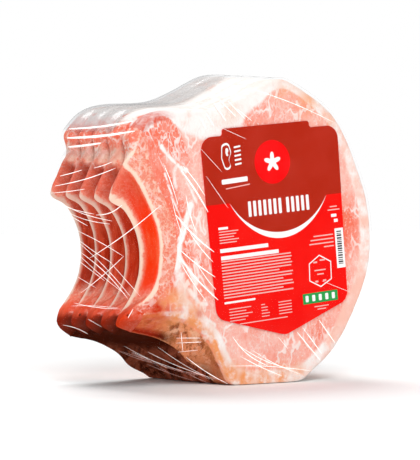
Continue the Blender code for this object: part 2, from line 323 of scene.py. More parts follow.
def grown(points, index):
    growth, shift = growthOf(index)
    return points * growth + shift


def ungrown(points, index):
    growth, shift = growthOf(index)
    return (points - shift) / growth


def chopRings(index):
    # rings through one chop, each with y, outline and seam, then the outline's samples and the seam's ends
    rows = np.array([row[1:] for row in chopOutline])
    samples, places = closedSpline(rows)
    names = [row[0] for row in chopOutline]
    top = places[names.index("knobTop")]
    bottom = places[names.index("seamBottom")]
    hang = samples[:, lookColumns["brown"]] * index / (stack["slices"] - 1)
    thickness = stack["pitch"] - stack["gap"]
    front = -stack["slices"] * stack["pitch"] / 2 + index * stack["pitch"] + stack["gap"] / 2
    draw = random.Random(stack["wobbleSeed"] + index)
    share = np.arange(len(samples)) / len(samples) * 2 * math.pi
    waves = [np.cos(wave * share + draw.uniform(0, 2 * math.pi)) for wave in stack["wobbleWaves"]]
    stray = stack["wobble"] * sum(waves) / len(waves)
    seamRows = np.array(chopSeam)
    rings = []
    for station in stack["stations"]:
        outline = samples[:, 0:2] + samples[:, 2:4] * station + hang[:, None] * np.array(stack["droop"])
        depth = min(station, 1 - station) * thickness
        rounding = samples[:, 4]
        inside = np.clip(rounding - depth, 0.0, None)
        inset = rounding - np.sqrt(rounding**2 - inside**2)
        low = np.clip(outline[:, 1] / stack["flatFade"], 0.0, 1.0)
        outline = outline + outward(outline) * (stray * low - inset)[:, None]
        outline[:, 1] = np.clip(outline[:, 1], stack["lift"], None)
        through = seamRows[:, 0:2] + seamRows[:, 2:4] * station
        seam = openSpline(np.array([outline[top], *through, outline[bottom]]), 2 * stack["refine"])
        rings.append((front + station * thickness, grown(outline, index), grown(seam, index)))
    return rings, samples, top, bottom


allRings = [chopRings(index) for index in range(stack["slices"])]
sideShift = stack["sideShift"]


def splitRing(outline, seam, top, bottom):
    along = np.gradient(seam, axis=0)
    side = np.stack([-along[:, 1], along[:, 0]], axis=1)
    side = side / np.linalg.norm(side, axis=1, keepdims=True) * stack["seamGap"]
    meat = np.concatenate([outline[top + 1:bottom], (seam + side)[::-1]])
    bone = np.concatenate([seam - side, outline[bottom + 1:], outline[:top]])
    return meat, bone


def ringLooks(samples, seamCount, top, bottom):
    # looks along the meat's and the bone's loop. On the seam they blend from one end to the other
    share = np.linspace(0, 1, seamCount)[:, None]
    seamLooks = samples[top] * (1 - share) + samples[bottom] * share
    samples = np.hstack([samples, np.zeros((len(samples), 1))])
    seamLooks = np.hstack([seamLooks, np.ones((len(seamLooks), 1))])
    seamLooks[[0, -1], -1] = 0.5                         # the two ends show on the side
    meat = np.concatenate([samples[top + 1:bottom], seamLooks[::-1]])
    bone = np.concatenate([seamLooks, samples[bottom + 1:], samples[:top]])
    return meat, bone


def insideLoop(points, loop):
    x, z = points[:, 0], points[:, 1]
    inside = np.zeros(len(points), bool)
    for (ax, az), (bx, bz) in zip(loop, np.roll(loop, -1, axis=0)):
        crosses = (az > z) != (bz > z)
        with np.errstate(divide="ignore", invalid="ignore"):
            at = (bx - ax) * (z - az) / (bz - az) + ax
        inside ^= crosses & (x < at)
    return inside


def nearest(points, others, chunk=2000):
    # distance to the nearest of the others, and which one it is
    gaps = np.empty(len(points))
    which = np.empty(len(points), int)
    for start in range(0, len(points), chunk):
        some = slice(start, start + chunk)
        distances = np.linalg.norm(points[some, None, :] - others[None, :, :], axis=2)
        which[some] = distances.argmin(axis=1)
        gaps[some] = distances.min(axis=1)
    return gaps, which


def capMesh(loop, spacing):
    # inner points and triangles that fill a loop. Triangles count the loop's points first
    low, high = loop.min(axis=0), loop.max(axis=0)
    rowsApart = spacing * math.sqrt(3) / 2
    points = []
    for r, z in enumerate(np.arange(low[1], high[1], rowsApart)):
        points += [(x + spacing / 2 * (r % 2), z) for x in np.arange(low[0], high[0], spacing)]
    points = np.array(points)
    points = points[insideLoop(points, loop)]
    gaps, _ = nearest(points, loop)
    points = points[gaps > spacing * stack["capClear"]]
    everything = [Vector(p) for p in np.concatenate([loop, points])]
    corners, _, triangles, origins, _, _ = delaunay_2d_cdt(everything, [], [list(range(len(loop)))], 1, 1e-7)
    places = [origin[0] if origin else -1 for origin in origins]
    if len(corners) != len(everything) or -1 in places:
        print("cap: the fill moved", len(corners) - len(everything), "points")
    kept = [[places[corner] for corner in triangle] for triangle in triangles]
    return points, [triangle for triangle in kept if -1 not in triangle]


def loftPiece(name, rings, looks, frontSpacing, backSpacing):
    # a closed piece through the rings, with the place, share of the thickness and looks of each vertex
    count = len(rings[0][1])
    last = len(rings) - 1
    verts, faces, share, onFace, loopPoint = [], [], [], [], []
    for station, (y, loop) in zip(stack["stations"], rings):
        verts += [(x, y, z) for x, z in loop]
        share += [station] * count
        onFace += [0.0] * count
        loopPoint += range(count)
    levels = [range(level * count, (level + 1) * count) for level in range(len(rings))]
    for near, far in zip(levels, levels[1:]):
        faces += band(near, far)
    for level, spacing in ((0, frontSpacing), (last, backSpacing)):
        y, loop = rings[level]
        points, triangles = capMesh(loop, spacing)
        base = level * count
        start = len(verts) - count
        verts += [(x, y, z) for x, z in points]
        share += [stack["stations"][level]] * len(points)
        onFace += [1.0] * len(points)
        loopPoint += list(nearest(points, loop)[1]) if len(points) else []
        for triangle in triangles:
            faces.append(tuple((base if corner < count else start) + corner for corner in triangle))
    verts = np.array(verts)
    mesh = bpy.data.meshes.new(name)
    mesh.from_pydata([((x + sideShift) * mm, y * mm, z * mm) for x, y, z in verts], [], faces)
    faceOutwards(mesh)
    looks = looks[np.array(loopPoint)]
    facts = {look: looks[:, column] for look, column in lookColumns.items()}
    facts |= {"place": verts, "share": np.array(share), "face": np.array(onFace)}
    return newObject(name, mesh), facts


relief = {
    "side": 0.45,            # mm that the side sinks at most
    "sideGrain": (0.16, 0.10, 0.22),   # waves for each mm along x, y and z
    "belly": 1.1,
    "bellyGrain": (0.30, 0.09, 0.30),
    "face": 0.17,            # mm up and down on the two cut faces that show
    "faceGrain": (0.45, 0.30),
    "faceNoise": (0.8, 2.0, 3),    # roughness, spacing and count of its octaves
    "faceEdge": 0.05,        # share of the thickness that counts as the cut face
    "sideEdge": 0.1,         # and over which the side's lumps grow
    "foot": (1.0, 5.0),      # height where they begin, and over which they grow
    "nextFace": 9.0,         # steps in the noises from chop to chop
    "nextSide": 5.0,
    "bellyShift": 7.0,
    "bulges": (              # x, z, radius and height on the first cut face
        (-66.0, 119.8, 4.8, 0.55),
        (-62.0, 111.0, 3.6, -0.25),
        (-56.0, 38.0, 3.4, 0.35),
        (-44.0, 40.5, 4.5, 0.30),
    ),
    "sharp": 50.0,           # degrees
}


def roughen(piece, facts, index):
    # sinks the side into lumps, and ripples the outer cut faces
    last = stack["slices"] - 1
    edge = relief["faceEdge"]
    lowest, rise = relief["foot"]
    vertices = piece.data.vertices
    normals = [v.normal.copy() for v in vertices]
    rows = zip(vertices, facts["place"], facts["share"], facts["seam"], facts["brown"], normals)
    for v, (x, y, z), share, seam, dark, normal in rows:
        if (index == 0 and share < edge) or (index == last and share > 1 - edge):
            gx, gz = relief["faceGrain"]
            at = (x * gx, index * relief["nextFace"], z * gz)
            v.co.y += fieldNoise.fractal(at, *relief["faceNoise"]) * relief["face"] * mm
        if index == 0 and share < edge:
            for atX, atZ, radius, height in relief["bulges"]:
                away = ((x - atX)**2 + (z - atZ)**2) / radius**2
                v.co.y -= height * max(0.0, 1 - away)**1.5 * mm
        inner = min(1.0, min(share, 1 - share) / relief["sideEdge"])
        low = min(1.0, max(0.0, (z - lowest) / rise))
        weight = inner * max(0.0, 1 - 2 * seam) * low
        if weight > 0:
            gx, gy, gz = relief["sideGrain"]
            lumps = 0.5 + 0.5 * fieldNoise.noise((x * gx, y * gy, z * gz + index * relief["nextSide"]))
            gx, gy, gz = relief["bellyGrain"]
            folds = 0.5 + 0.5 * fieldNoise.noise((x * gx + relief["bellyShift"], y * gy, z * gz))
            depth = relief["side"] * lumps + relief["belly"] * dark * folds
            v.co -= normal * depth * weight * mm
    piece.data.set_sharp_from_angle(angle=math.radians(relief["sharp"]))


def setFields(piece, fields):
    for name, values in fields.items():
        attribute = piece.data.attributes.new(name, "FLOAT", "POINT")
        attribute.data.foreach_set("value", np.clip(values, 0.0, 1.0).astype(np.float32))


def smooth(value, low, high):
    t = np.clip((value - low) / (high - low), 0.0, 1.0)
    return t * t * (3 - 2 * t)


def within(value, start, full, fade, end):
    # rises from start to full, and falls again from fade to end
    return smooth(value, start, full) * (1 - smooth(value, fade, end))


def spread(gap, width, soft):
    # full near a line, gone at a distance. Soft gives both as shares of the width
    return 1 - smooth(gap, width * soft[0], width * soft[1])


def spots(points, table):
    total = np.zeros(len(points))
    for x, z, radius, strength in table:
        away = (points[:, 0] - x)**2 + (points[:, 1] - z)**2
        total = np.maximum(total, strength * np.exp(-away / radius**2))
    return total


def chopPiece(kind, index, look):
    # the meat or the bone of one chop, and what is known at each of its vertices
    rings, samples, top, bottom = allRings[index]
    part = ("meat", "bone").index(kind)
    loops = [(y, splitRing(outline, seam, top, bottom)[part]) for y, outline, seam in rings]
    looks = ringLooks(samples, len(rings[0][2]), top, bottom)[part]
    front = look["frontSpacing"][index > 0]
    back = look["backSpacing"][index < stack["slices"] - 1]
    piece, facts = loftPiece(f"{kind}{index + 1}", loops, looks, front, back)
    facts["flat"] = ungrown(facts["place"][:, [0, 2]], index)
    facts["face"] = np.maximum(facts["face"], np.floor(facts["seam"]))
    facts["outlineGap"], which = nearest(facts["flat"], ungrown(rings[0][1], index))
    facts["nearRim"] = samples[which, lookColumns["rim"]]
    return piece, facts


# Muscles and fat on the cut face, in mm

meatLook = {
    "frontSpacing": (1.3, 5.0),   # mm between points of a front cut face, where it shows and where not
    "backSpacing": (1.6, 5.0),
    "capMuscle": (
        (-58.2, 130.6), (-50.8, 131.2), (-43.5, 125.5), (-37.7, 114.8), (-35.6, 108.6),
        (-39.5, 105.6), (-46.9, 110.3), (-52.3, 116.7), (-56.5, 123.7),
    ),
    "capSoft": 1.2,
    "stripWidth": 9.0,       # red meat beside the bone
    "rimSoft": (0.5, 1.6),   # shares of their width over which fat and red fade out
    "strokeSoft": (0.5, 1.8),
    "stripSoft": (0.6, 1.4),
    "tone": (0.22, 0.72, 0.5),     # depth of red in the body, in that strip and in the small muscle
    "sideTone": (0.5, 0.3),        # on the side, and the painted shade that the rearmost chop adds
    "edge": 0.1,             # share of the thickness over which the face turns into the side
    "frontEdge": (0.06, 0.26),     # the same for the brown of the front chop
    "frontBrown": (0.1, 0.9),      # how brown at the edge, and what is added on the side
    "rearBrown": (0.85, 0.15),
    "darkFoot": (4.0, 20.0, 0.75),   # heights over which the front chop's dark underside fades, partly painted shade, and its strength
    "darkBack": ((0.45, 0.8), (-47.0, -36.0)),   # the dark at its back, partly painted shade: shares of the thickness, and x
    "pink": ((30.0, 62.0), (30.0, 75.0)),   # x and z over which the fat side turns pink
    "boneRed": (-54.0, -43.0, 0.65),        # x over which the red beside the bone fades, and its strength
    "ridge": (0.05, 0.3, 0.5, 0.75),        # shares of the thickness where the belly is streaked
    "ridgeTone": (0.45, 0.55),
    "fatStrokes": (          # points of a white seam, then its half width and its strength
        (((-52.4, 116.0), (-47.5, 111.0), (-43.5, 108.3), (-38.5, 104.6)), 1.2, 1.0),
        (((-43.5, 108.3), (-45.5, 103.0), (-44.5, 96.0)), 1.1, 0.65),
        (((-43.5, 108.3), (-39.0, 101.0), (-33.0, 90.0)), 1.0, 0.7),
        (((-60.6, 124.0), (-57.0, 117.0), (-53.5, 110.0), (-50.5, 103.0)), 0.5, 0.7),
        (((-50.5, 103.0), (-46.5, 92.0), (-42.0, 82.0), (-40.0, 74.0)), 0.7, 0.8),
        (((-36.0, 88.0), (-39.5, 78.0), (-43.0, 66.0), (-43.5, 58.0)), 1.6, 0.9),
        (((-43.5, 64.8), (-38.0, 58.0), (-33.0, 51.0)), 1.1, 0.8),
        (((-43.5, 58.0), (-41.5, 50.0), (-41.0, 43.0)), 3.4, 0.6),
        (((-41.0, 43.0), (-35.0, 36.0), (-27.0, 28.0), (-22.0, 18.0), (-15.0, 8.0)), 2.4, 0.9),
        (((-33.0, 40.0), (-28.0, 34.0), (-22.0, 30.0)), 1.0, 0.7),
        (((-36.6, 47.3), (-31.0, 41.0), (-27.0, 40.0)), 1.2, 0.7),
        (((-30.0, 128.0), (-20.0, 122.0), (-8.0, 121.0)), 6.0, 0.8),
    ),
    "deepSpots": (           # x, z, radius, strength of deeper red meat
        (-1.0, 130.0, 9.0, 0.45),
        (20.0, 134.0, 12.0, 0.15),
        (57.0, 76.0, 13.0, 0.75),
        (55.0, 42.0, 12.0, 0.35),
        (20.0, 16.0, 12.0, 0.15),
        (42.0, 24.0, 11.0, 0.4),
        (-28.0, 60.0, 8.0, 0.3),
        (-30.0, 45.0, 5.0, 0.5),
        (-52.0, 96.0, 9.0, 0.25),
        (-47.0, 80.0, 7.0, 0.2),
    ),
    "warmSpots": (           # x, z, radius, strength of orange fat
        (-43.0, 50.0, 5.0, 0.35),
        (-14.0, 134.0, 8.0, 0.35),
        (20.0, 144.0, 6.0, 0.5),
        (35.0, 140.0, 8.0, 0.8),
        (46.0, 131.0, 7.0, 0.5),
        (-46.0, 40.0, 10.0, 0.9),
        (-36.0, 35.0, 7.0, 0.9),
        (-27.0, 26.0, 5.0, 0.8),
        (-20.0, 12.0, 5.0, 1.0),
        (-13.0, 5.0, 6.0, 1.3),
        (-4.0, 3.0, 6.0, 1.2),
        (7.0, 2.5, 6.0, 1.1),
        (18.0, 3.0, 6.0, 1.0),
        (28.0, 4.0, 5.0, 0.8),
        (-52.0, 40.0, 5.0, 1.0),
    ),
    "pits": (                # x, z, radius, strength of dark hollows
        (-55.4, 38.4, 1.0, 0.9),
        (-43.0, 35.4, 0.7, 0.5),
    ),
    "redSpots": (            # x, z, radius, strength of blood
        (-55.5, 38.5, 3.8, 1.3),
        (-49.5, 37.5, 3.0, 0.7),
        (-43.0, 35.0, 2.6, 0.8),
        (-31.0, 35.5, 2.2, 0.6),
        (-37.5, 33.5, 2.4, 0.5),
    ),
}


def makeMeat(index):
    piece, facts = chopPiece("meat", index, meatLook)
    place, share, face, seam = facts["flat"], facts["share"], facts["face"], facts["seam"]
    x, z = place[:, 0], place[:, 1]
    side = 1 - face
    rear = index / (stack["slices"] - 1)
    # the cut face: fat along the rim and the strokes, and two darker muscles
    fat = spread(facts["outlineGap"], facts["nearRim"], meatLook["rimSoft"])
    for stroke, width, strength in meatLook["fatStrokes"]:
        gap = nearest(place, openSpline(np.array(stroke), 8))[0]
        fat = np.maximum(fat, strength * spread(gap, width, meatLook["strokeSoft"]))
    capLoop = np.array(meatLook["capMuscle"])
    capEdge = nearest(place, openSpline(np.concatenate([capLoop, capLoop[:1]]), 6))[0]
    cap = np.where(insideLoop(place, capLoop), smooth(capEdge, 0.0, meatLook["capSoft"]), 0.0)
    seamGap = nearest(place, ungrown(allRings[index][0][0][2], index))[0]
    strip = spread(seamGap, meatLook["stripWidth"], meatLook["stripSoft"]) * (1 - cap)
    plain, stripTone, capTone = meatLook["tone"]
    tone = plain + stripTone * strip + capTone * cap + spots(place, meatLook["deepSpots"])
    # the side has the looks of the outline, and a deeper red, painted shade, on the chops behind
    atEdge = smooth(np.minimum(share, 1 - share), 0.0, meatLook["edge"]) * side
    onSide = atEdge * (1 - seam)
    sideTone, rearTone = meatLook["sideTone"]
    tone = tone * (1 - onSide) + (sideTone + rearTone * rear) * onSide
    fat = fat * (1 - cap) * (1 - onSide) + facts["fat"] * onSide
    warm = spots(place, meatLook["warmSpots"]) * (1 - onSide)
    brown = facts["brown"] * side
    dark = np.ones(len(share))
    red = np.zeros(len(share))
    if index == 0:
        fromFront = smooth(share, *meatLook["frontEdge"])
        warm = np.maximum(warm, brown * (1 - fromFront))
        start, gain = meatLook["frontBrown"]
        brown = brown * (start + gain * fromFront)
        # darker belly low down and at its back: partly its own colour, partly painted shade
        low, high, strength = meatLook["darkFoot"]
        backShare, backReach = meatLook["darkBack"]
        behind = smooth(share, *backShare) * (1 - smooth(x, *backReach))
        dark = np.maximum(strength * (1 - smooth(z, low, high)), behind) * atEdge
        warm = np.maximum(warm, facts["warm"] * side * (1 - dark))
        pit = spots(place, meatLook["pits"]) * face
        brown = np.maximum(brown, pit)
        dark = np.maximum(dark, np.ceil(pit - 0.05))     # a pit is as dark as the dark belly
        left, right, strength = meatLook["boneRed"]
        nearBone = strength * (1 - smooth(x, left, right)) * side
        red = np.maximum(spots(place, meatLook["redSpots"]) * face, nearBone)
    else:
        # the belly of the chops behind is nearly black brown, partly painted shade
        start, gain = meatLook["rearBrown"]
        brown = brown * (start + gain * atEdge)
    across, upwards = meatLook["pink"]
    pink = smooth(x, *across) * (0.5 + 0.5 * (1 - smooth(z, *upwards)))
    start, gain = meatLook["ridgeTone"]
    ridge = start + gain * within(share, *meatLook["ridge"])
    setFields(piece, {"fat": fat, "tone": tone, "warm": warm, "brown": brown, "cap": cap * face,
                      "dark": dark, "red": red, "pink": pink, "ridge": ridge})
    roughen(piece, facts, index)
    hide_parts(f"chop_{index + 1}_meat")
    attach(piece, "root")
    return piece


boneLook = {
    "frontSpacing": (0.9, 2.2),   # mm between points of a front cut face, where it shows and where not
    "backSpacing": (1.6, 4.0),
    "shaded": 0.5,           # painted shade beside the chop in front
    "shadeReach": 0.34,      # share of the thickness
    "ribTop": 0.22,          # darker high on the front chop's rib
    "ribTopFrom": (80.0, 98.0),
    "frontBrown": (0.05, 0.25, 0.3),   # the front chop's brown: where it starts and is full, and its strength
    "rimSoft": (0.5, 1.5),   # shares of the rim's width over which its cream fades out
    "creamCover": 0.75,
    "edgeCream": (0.25, 0.7),      # cream at the edges of the side, and what each mm of rim adds
    "edgeCreamFrom": (36.0, 43.0),
    "creamOnRed": 0.6,       # how far red keeps the cream off
    "redSide": (0.35, 0.65),       # red on the side, and what its coloured band adds
    "footFrom": (46.0, 38.0),      # the foot is red all over below these heights
    "mottle": (0.05, 0.55, 0.85),  # frost everywhere, on the faces, and on the neck
    "neckFrom": (103.0, 107.0),
    "climb": (4.0, 3.0),     # mm that cream, and the frost of the neck, come down from front to back
    "paleOnRed": 0.7,
    "rear": (0.7, 0.3),      # painted shade and light of the chops behind, and what the rearmost adds
    "redSpots": (            # x, z, radius, strength on the face
        (-64.5, 120.0, 3.6, 0.75),
        (-57.5, 118.0, 4.0, 0.6),
        (-57.5, 38.8, 4.4, 1.2),
        (-65.0, 36.5, 4.2, 1.0),
        (-73.0, 35.5, 4.0, 1.2),
    ),
    "creamSpots": (
        (-60.0, 112.0, 3.0, 0.6),
        (-67.0, 113.5, 3.0, 0.45),
        (-62.5, 124.0, 2.5, 0.6),
        (-52.0, 86.0, 2.5, 0.6),
        (-62.0, 44.0, 3.0, 0.6),
    ),
    "band": (0.0, 0.05, 0.68, 0.92),   # shares of the thickness between which a bone's side has its colour
    "frontBand": (0.0, 0.05, 0.52, 0.84),
    "pale": (                # height, reach and strength of the mottled grey zones
        (111.0, 6.5, 0.78),
        (46.5, 3.0, 0.4),
    ),
}


def makeBone(index):
    piece, facts = chopPiece("bone", index, boneLook)
    place, share, face, ribHere = facts["flat"], facts["share"], facts["face"], facts["rib"]
    z = place[:, 1]
    side = 1 - face
    creamClimb, neckClimb = boneLook["climb"]
    coloured = within(share, *boneLook["band" if index else "frontBand"]) * side
    # painted shade on the chops behind, near the chop in front
    shaded = (1 - smooth(share, 0.0, boneLook["shadeReach"])) * side * (index > 0)
    high, low = boneLook["footFrom"]
    foot = (1 - smooth(z, low, high)) * side
    rib = np.maximum(ribHere * coloured, ribHere * shaded)
    start, gain = boneLook["redSide"]
    red = spots(place, boneLook["redSpots"]) * face
    red = np.maximum(red, facts["red"] * np.maximum(start * side + gain * coloured, foot))
    start, gain = boneLook["edgeCream"]
    edgeCream = side * (1 - coloured) * np.clip(start + facts["rim"] * gain, 0, 1)
    edgeCream = edgeCream * smooth(z + share * creamClimb, *boneLook["edgeCreamFrom"])
    cream = spread(facts["outlineGap"], facts["nearRim"], boneLook["rimSoft"])
    cream = np.maximum(cream, spots(place, boneLook["creamSpots"])) * face * boneLook["creamCover"]
    cream = np.maximum(cream, edgeCream * (1 - shaded)) * (1 - boneLook["creamOnRed"] * red)
    brown = facts["brown"] * side
    if index == 0:
        start, full, strength = boneLook["frontBrown"]
        ribTop = boneLook["ribTop"] * ribHere * coloured * smooth(z, *boneLook["ribTopFrom"])
        brown = np.maximum(brown * strength * smooth(share, start, full), ribTop)
    brown = np.maximum(brown, shaded * ribHere * boneLook["shaded"])
    # painted shade on the knob and neck beside the chop in front
    knobShade = shaded * (1 - ribHere) * (1 - foot)
    everywhere, onFace, onNeck = boneLook["mottle"]
    neck = smooth(z + share * neckClimb, *boneLook["neckFrom"]) * side
    mottle = everywhere * (1 - foot) + onFace * face + onNeck * neck
    shown = side if index == 0 else 1.0                  # a little of each face behind shows at the neck
    for height, reach, strength in boneLook["pale"]:
        pale = strength * np.exp(-((z + share * creamClimb - height) / reach)**2) * shown
        cream = np.maximum(cream, pale)
        red = red * (1 - boneLook["paleOnRed"] * np.minimum(pale, 1.0))
    start, gain = boneLook["rear"]
    rear = 0.0 if index == 0 else start + gain * index / (stack["slices"] - 1)
    setFields(piece, {"cream": cream, "rib": rib, "red": red, "brown": brown, "knobShade": knobShade,
                      "mottle": mottle, "rear": np.full(len(rib), rear)})
    roughen(piece, facts, index)
    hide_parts(f"chop_{index + 1}_bone")
    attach(piece, "root")
    return piece


# Meat and bone materials

meatColours = {
    "pale": (0.95, 0.57, 0.49),
    "deep": (0.90, 0.185, 0.112),
    "fat": (0.96, 0.91, 0.88),
    "fatPink": (0.94, 0.55, 0.45),
    "warm": (0.88, 0.34, 0.13),
    # nearly black brown of the belly, partly painted shade
    "brown": (0.055, 0.008, 0.003),
    "brownStreak": (0.52, 0.135, 0.070),
    "tan": (0.80, 0.29, 0.145),
    "tanStreak": (0.24, 0.050, 0.018),
    "tanPale": (0.86, 0.50, 0.34),
    "blood": (0.62, 0.035, 0.010),
    "frost": (0.97, 0.88, 0.84),
}


def veins(tree, place, scale, width, detail=2.0):
    # thin wavy lines: where a noise passes its middle value
    off = sums(tree, "ABSOLUTE", sums(tree, "SUBTRACT", noise(tree, place, scale, detail, 0.5), 0.5))
    return ramp(tree, off, width * 0.3, width, 1.0, 0.0)


def centred(tree, value, strength):
    return times(tree, sums(tree, "SUBTRACT", value, 0.5), strength)


meatGrain = {                # scale, detail and roughness of a noise, then the limits of its ramp
    "blotch": (62, 3),
    "mottle": (330, 4, 0.75),
    "fatEdge": (170, 4, 0.65),
    "pink": (95, 3),
    "streak": (230, 4, 0.7),
    "fine": (250, 0.04),     # veins: scale, width and detail
    "coarse": (62, 0.022, 3.0),
    "fineWhere": ((85, 2), (0.42, 0.6)),
    "coarseWhere": ((48, 2), (0.4, 0.55)),
    "speck": ((950, 2, 0.7), (0.55, 0.72, 0.0, 0.55)),
    "tanPale": ((160, 4, 0.7), (0.5, 0.66)),
    "warm": ((140, 4, 0.65), (0.32, 0.58, 0.2, 1.0)),
    "blood": ((420, 3, 0.7), (0.3, 0.6, 0.55, 1.0)),
    "along": {"scale": (1.25, 0.5, 0.7), "turn": (0, math.radians(28), 0)},   # the way the fibres run
    "through": {"scale": (1.2, 0.9, 0.42)},          # streaks of the cut belly
    "streakLow": (0.0150, 0.0205, 1.0, 0.04),        # metres over which they end
    "rough": 0.42,
    "bump": (0.45, 0.0008),
}


def makeMeatMaterial():
    material, tree, shader = startMaterial("rawPork")
    grain, tones = meatGrain, meatColours
    place = objectPlace(tree)
    along = objectPlace(tree, **grain["along"])
    blotch = noise(tree, place, *grain["blotch"])
    mottle = noise(tree, along, *grain["mottle"])
    tone = plus(tree, field(tree, "tone"), centred(tree, blotch, 1.3))
    tone = plus(tree, tone, centred(tree, mottle, 1.2), clamp=True)
    body = mixColour(tree, tone, tones["pale"], tones["deep"])
    # white lines of fat between the fibres, broken up, and more of them in the small muscle
    where = patches(tree, place, *grain["fineWhere"])
    where = plus(tree, times(tree, where, 0.45), times(tree, field(tree, "cap"), 0.5), clamp=True)
    frost = times(tree, veins(tree, along, *grain["fine"]), where)
    coarse = times(tree, veins(tree, along, *grain["coarse"]), patches(tree, place, *grain["coarseWhere"]))
    frost = sums(tree, "MAXIMUM", frost, times(tree, coarse, 0.8))
    frost = sums(tree, "MAXIMUM", frost, patches(tree, place, *grain["speck"]))
    body = mixColour(tree, frost, body, tones["frost"])
    fatEdge = noise(tree, place, *grain["fatEdge"])
    fat = ramp(tree, plus(tree, field(tree, "fat"), centred(tree, fatEdge, 0.8)), 0.25, 0.8)
    pink = plus(tree, noise(tree, place, *grain["pink"]), centred(tree, mottle, 0.5))
    pink = plus(tree, pink, times(tree, field(tree, "pink"), 0.42))
    fatTone = mixColour(tree, ramp(tree, pink, 0.5, 0.95), tones["fat"], tones["fatPink"])
    body = mixColour(tree, fat, body, fatTone)
    # cut belly: tan on the front chop, nearly black brown behind, partly painted shade, streaked along the
    # thickness
    streak = noise(tree, objectPlace(tree, **grain["through"]), *grain["streak"])
    tan = mixColour(tree, ramp(tree, streak, 0.43, 0.6), tones["tan"], tones["tanStreak"])
    tan = mixColour(tree, patches(tree, place, *grain["tanPale"]), tan, tones["tanPale"])
    height = addNode(tree, "ShaderNodeSeparateXYZ", {"Vector": place}).outputs["Z"]
    light = times(tree, ramp(tree, streak, 0.34, 0.58), ramp(tree, height, *grain["streakLow"]))
    light = times(tree, light, field(tree, "ridge"))
    darkTone = mixColour(tree, light, tones["brown"], tones["brownStreak"])
    darkBelly = mixColour(tree, field(tree, "dark"), tan, darkTone)
    brown = plus(tree, field(tree, "brown"), centred(tree, fatEdge, 0.5))
    body = mixColour(tree, ramp(tree, brown, 0.2, 0.75), body, darkBelly)
    for name, tone in (("warm", "warm"), ("red", "blood")):
        share = times(tree, field(tree, name), patches(tree, place, *grain[tone]))
        body = mixColour(tree, share, body, tones[tone])
    height = plus(tree, mottle, times(tree, blotch, 2.0))
    height = plus(tree, height, times(tree, frost, 0.5))
    finish(tree, shader, body, grain["rough"], 0.0, (height, *grain["bump"]))
    return material


boneColours = {
    "core": (0.88, 0.265, 0.18),
    "marrow": (0.86, 0.19, 0.11),
    "cream": (0.96, 0.72, 0.57),
    "rib": (0.90, 0.036, 0.003),
    "ribStreak": (0.86, 0.10, 0.035),
    # darker ribs of the chops behind: painted shade
    "ribDark": (0.34, 0.020, 0.006),
    "ribDarkStreak": (0.60, 0.070, 0.030),
    "knobRed": (0.96, 0.19, 0.12),
    "footRed": (0.72, 0.050, 0.010),
    # foot of the chops behind: painted shade, with a ridge of painted light
    "footDark": (0.36, 0.019, 0.005),
    "ridge": (0.80, 0.095, 0.040),
    "frost": (0.96, 0.74, 0.67),
    # painted shade of the knobs and necks
    "knobShade": (0.56, 0.10, 0.06),
    # painted shade on the edges of the chops behind
    "grey": (0.70, 0.44, 0.37),
    # nearly black brown, partly painted shade
    "brown": (0.075, 0.009, 0.003),
}


boneGrain = {                # scale, detail and roughness of a noise, then the limits of its ramp
    "patch": (240, 4, 0.7),
    "streak": (90, 4, 0.65),
    "pores": (330, 0.05, 3.0),   # veins: scale, width and detail
    "swirls": (150, 0.05, 3.0),
    "poresWhere": ((130, 2), (0.35, 0.55, 0.3, 1.0)),
    "beads": ((520, 2, 0.6), (0.52, 0.66)),
    "red": ((260, 3, 0.65), (0.35, 0.55, 0.25, 1.0)),
    "swirlsWhere": ((90, 2), (0.4, 0.55)),
    "dots": ((430, 3, 0.6), (0.54, 0.66, 0.0, 0.7)),
    "through": {"scale": (1, 2.2, 0.5)},
    "high": (0.05, 0.09),    # metres over which the foot's red turns into the knob's
    # metres over which the painted light of the foot's ridge rises
    "ridge": (0.0315, 0.0365),
    "rough": 0.38,
    "bump": (0.6, 0.0009),
}


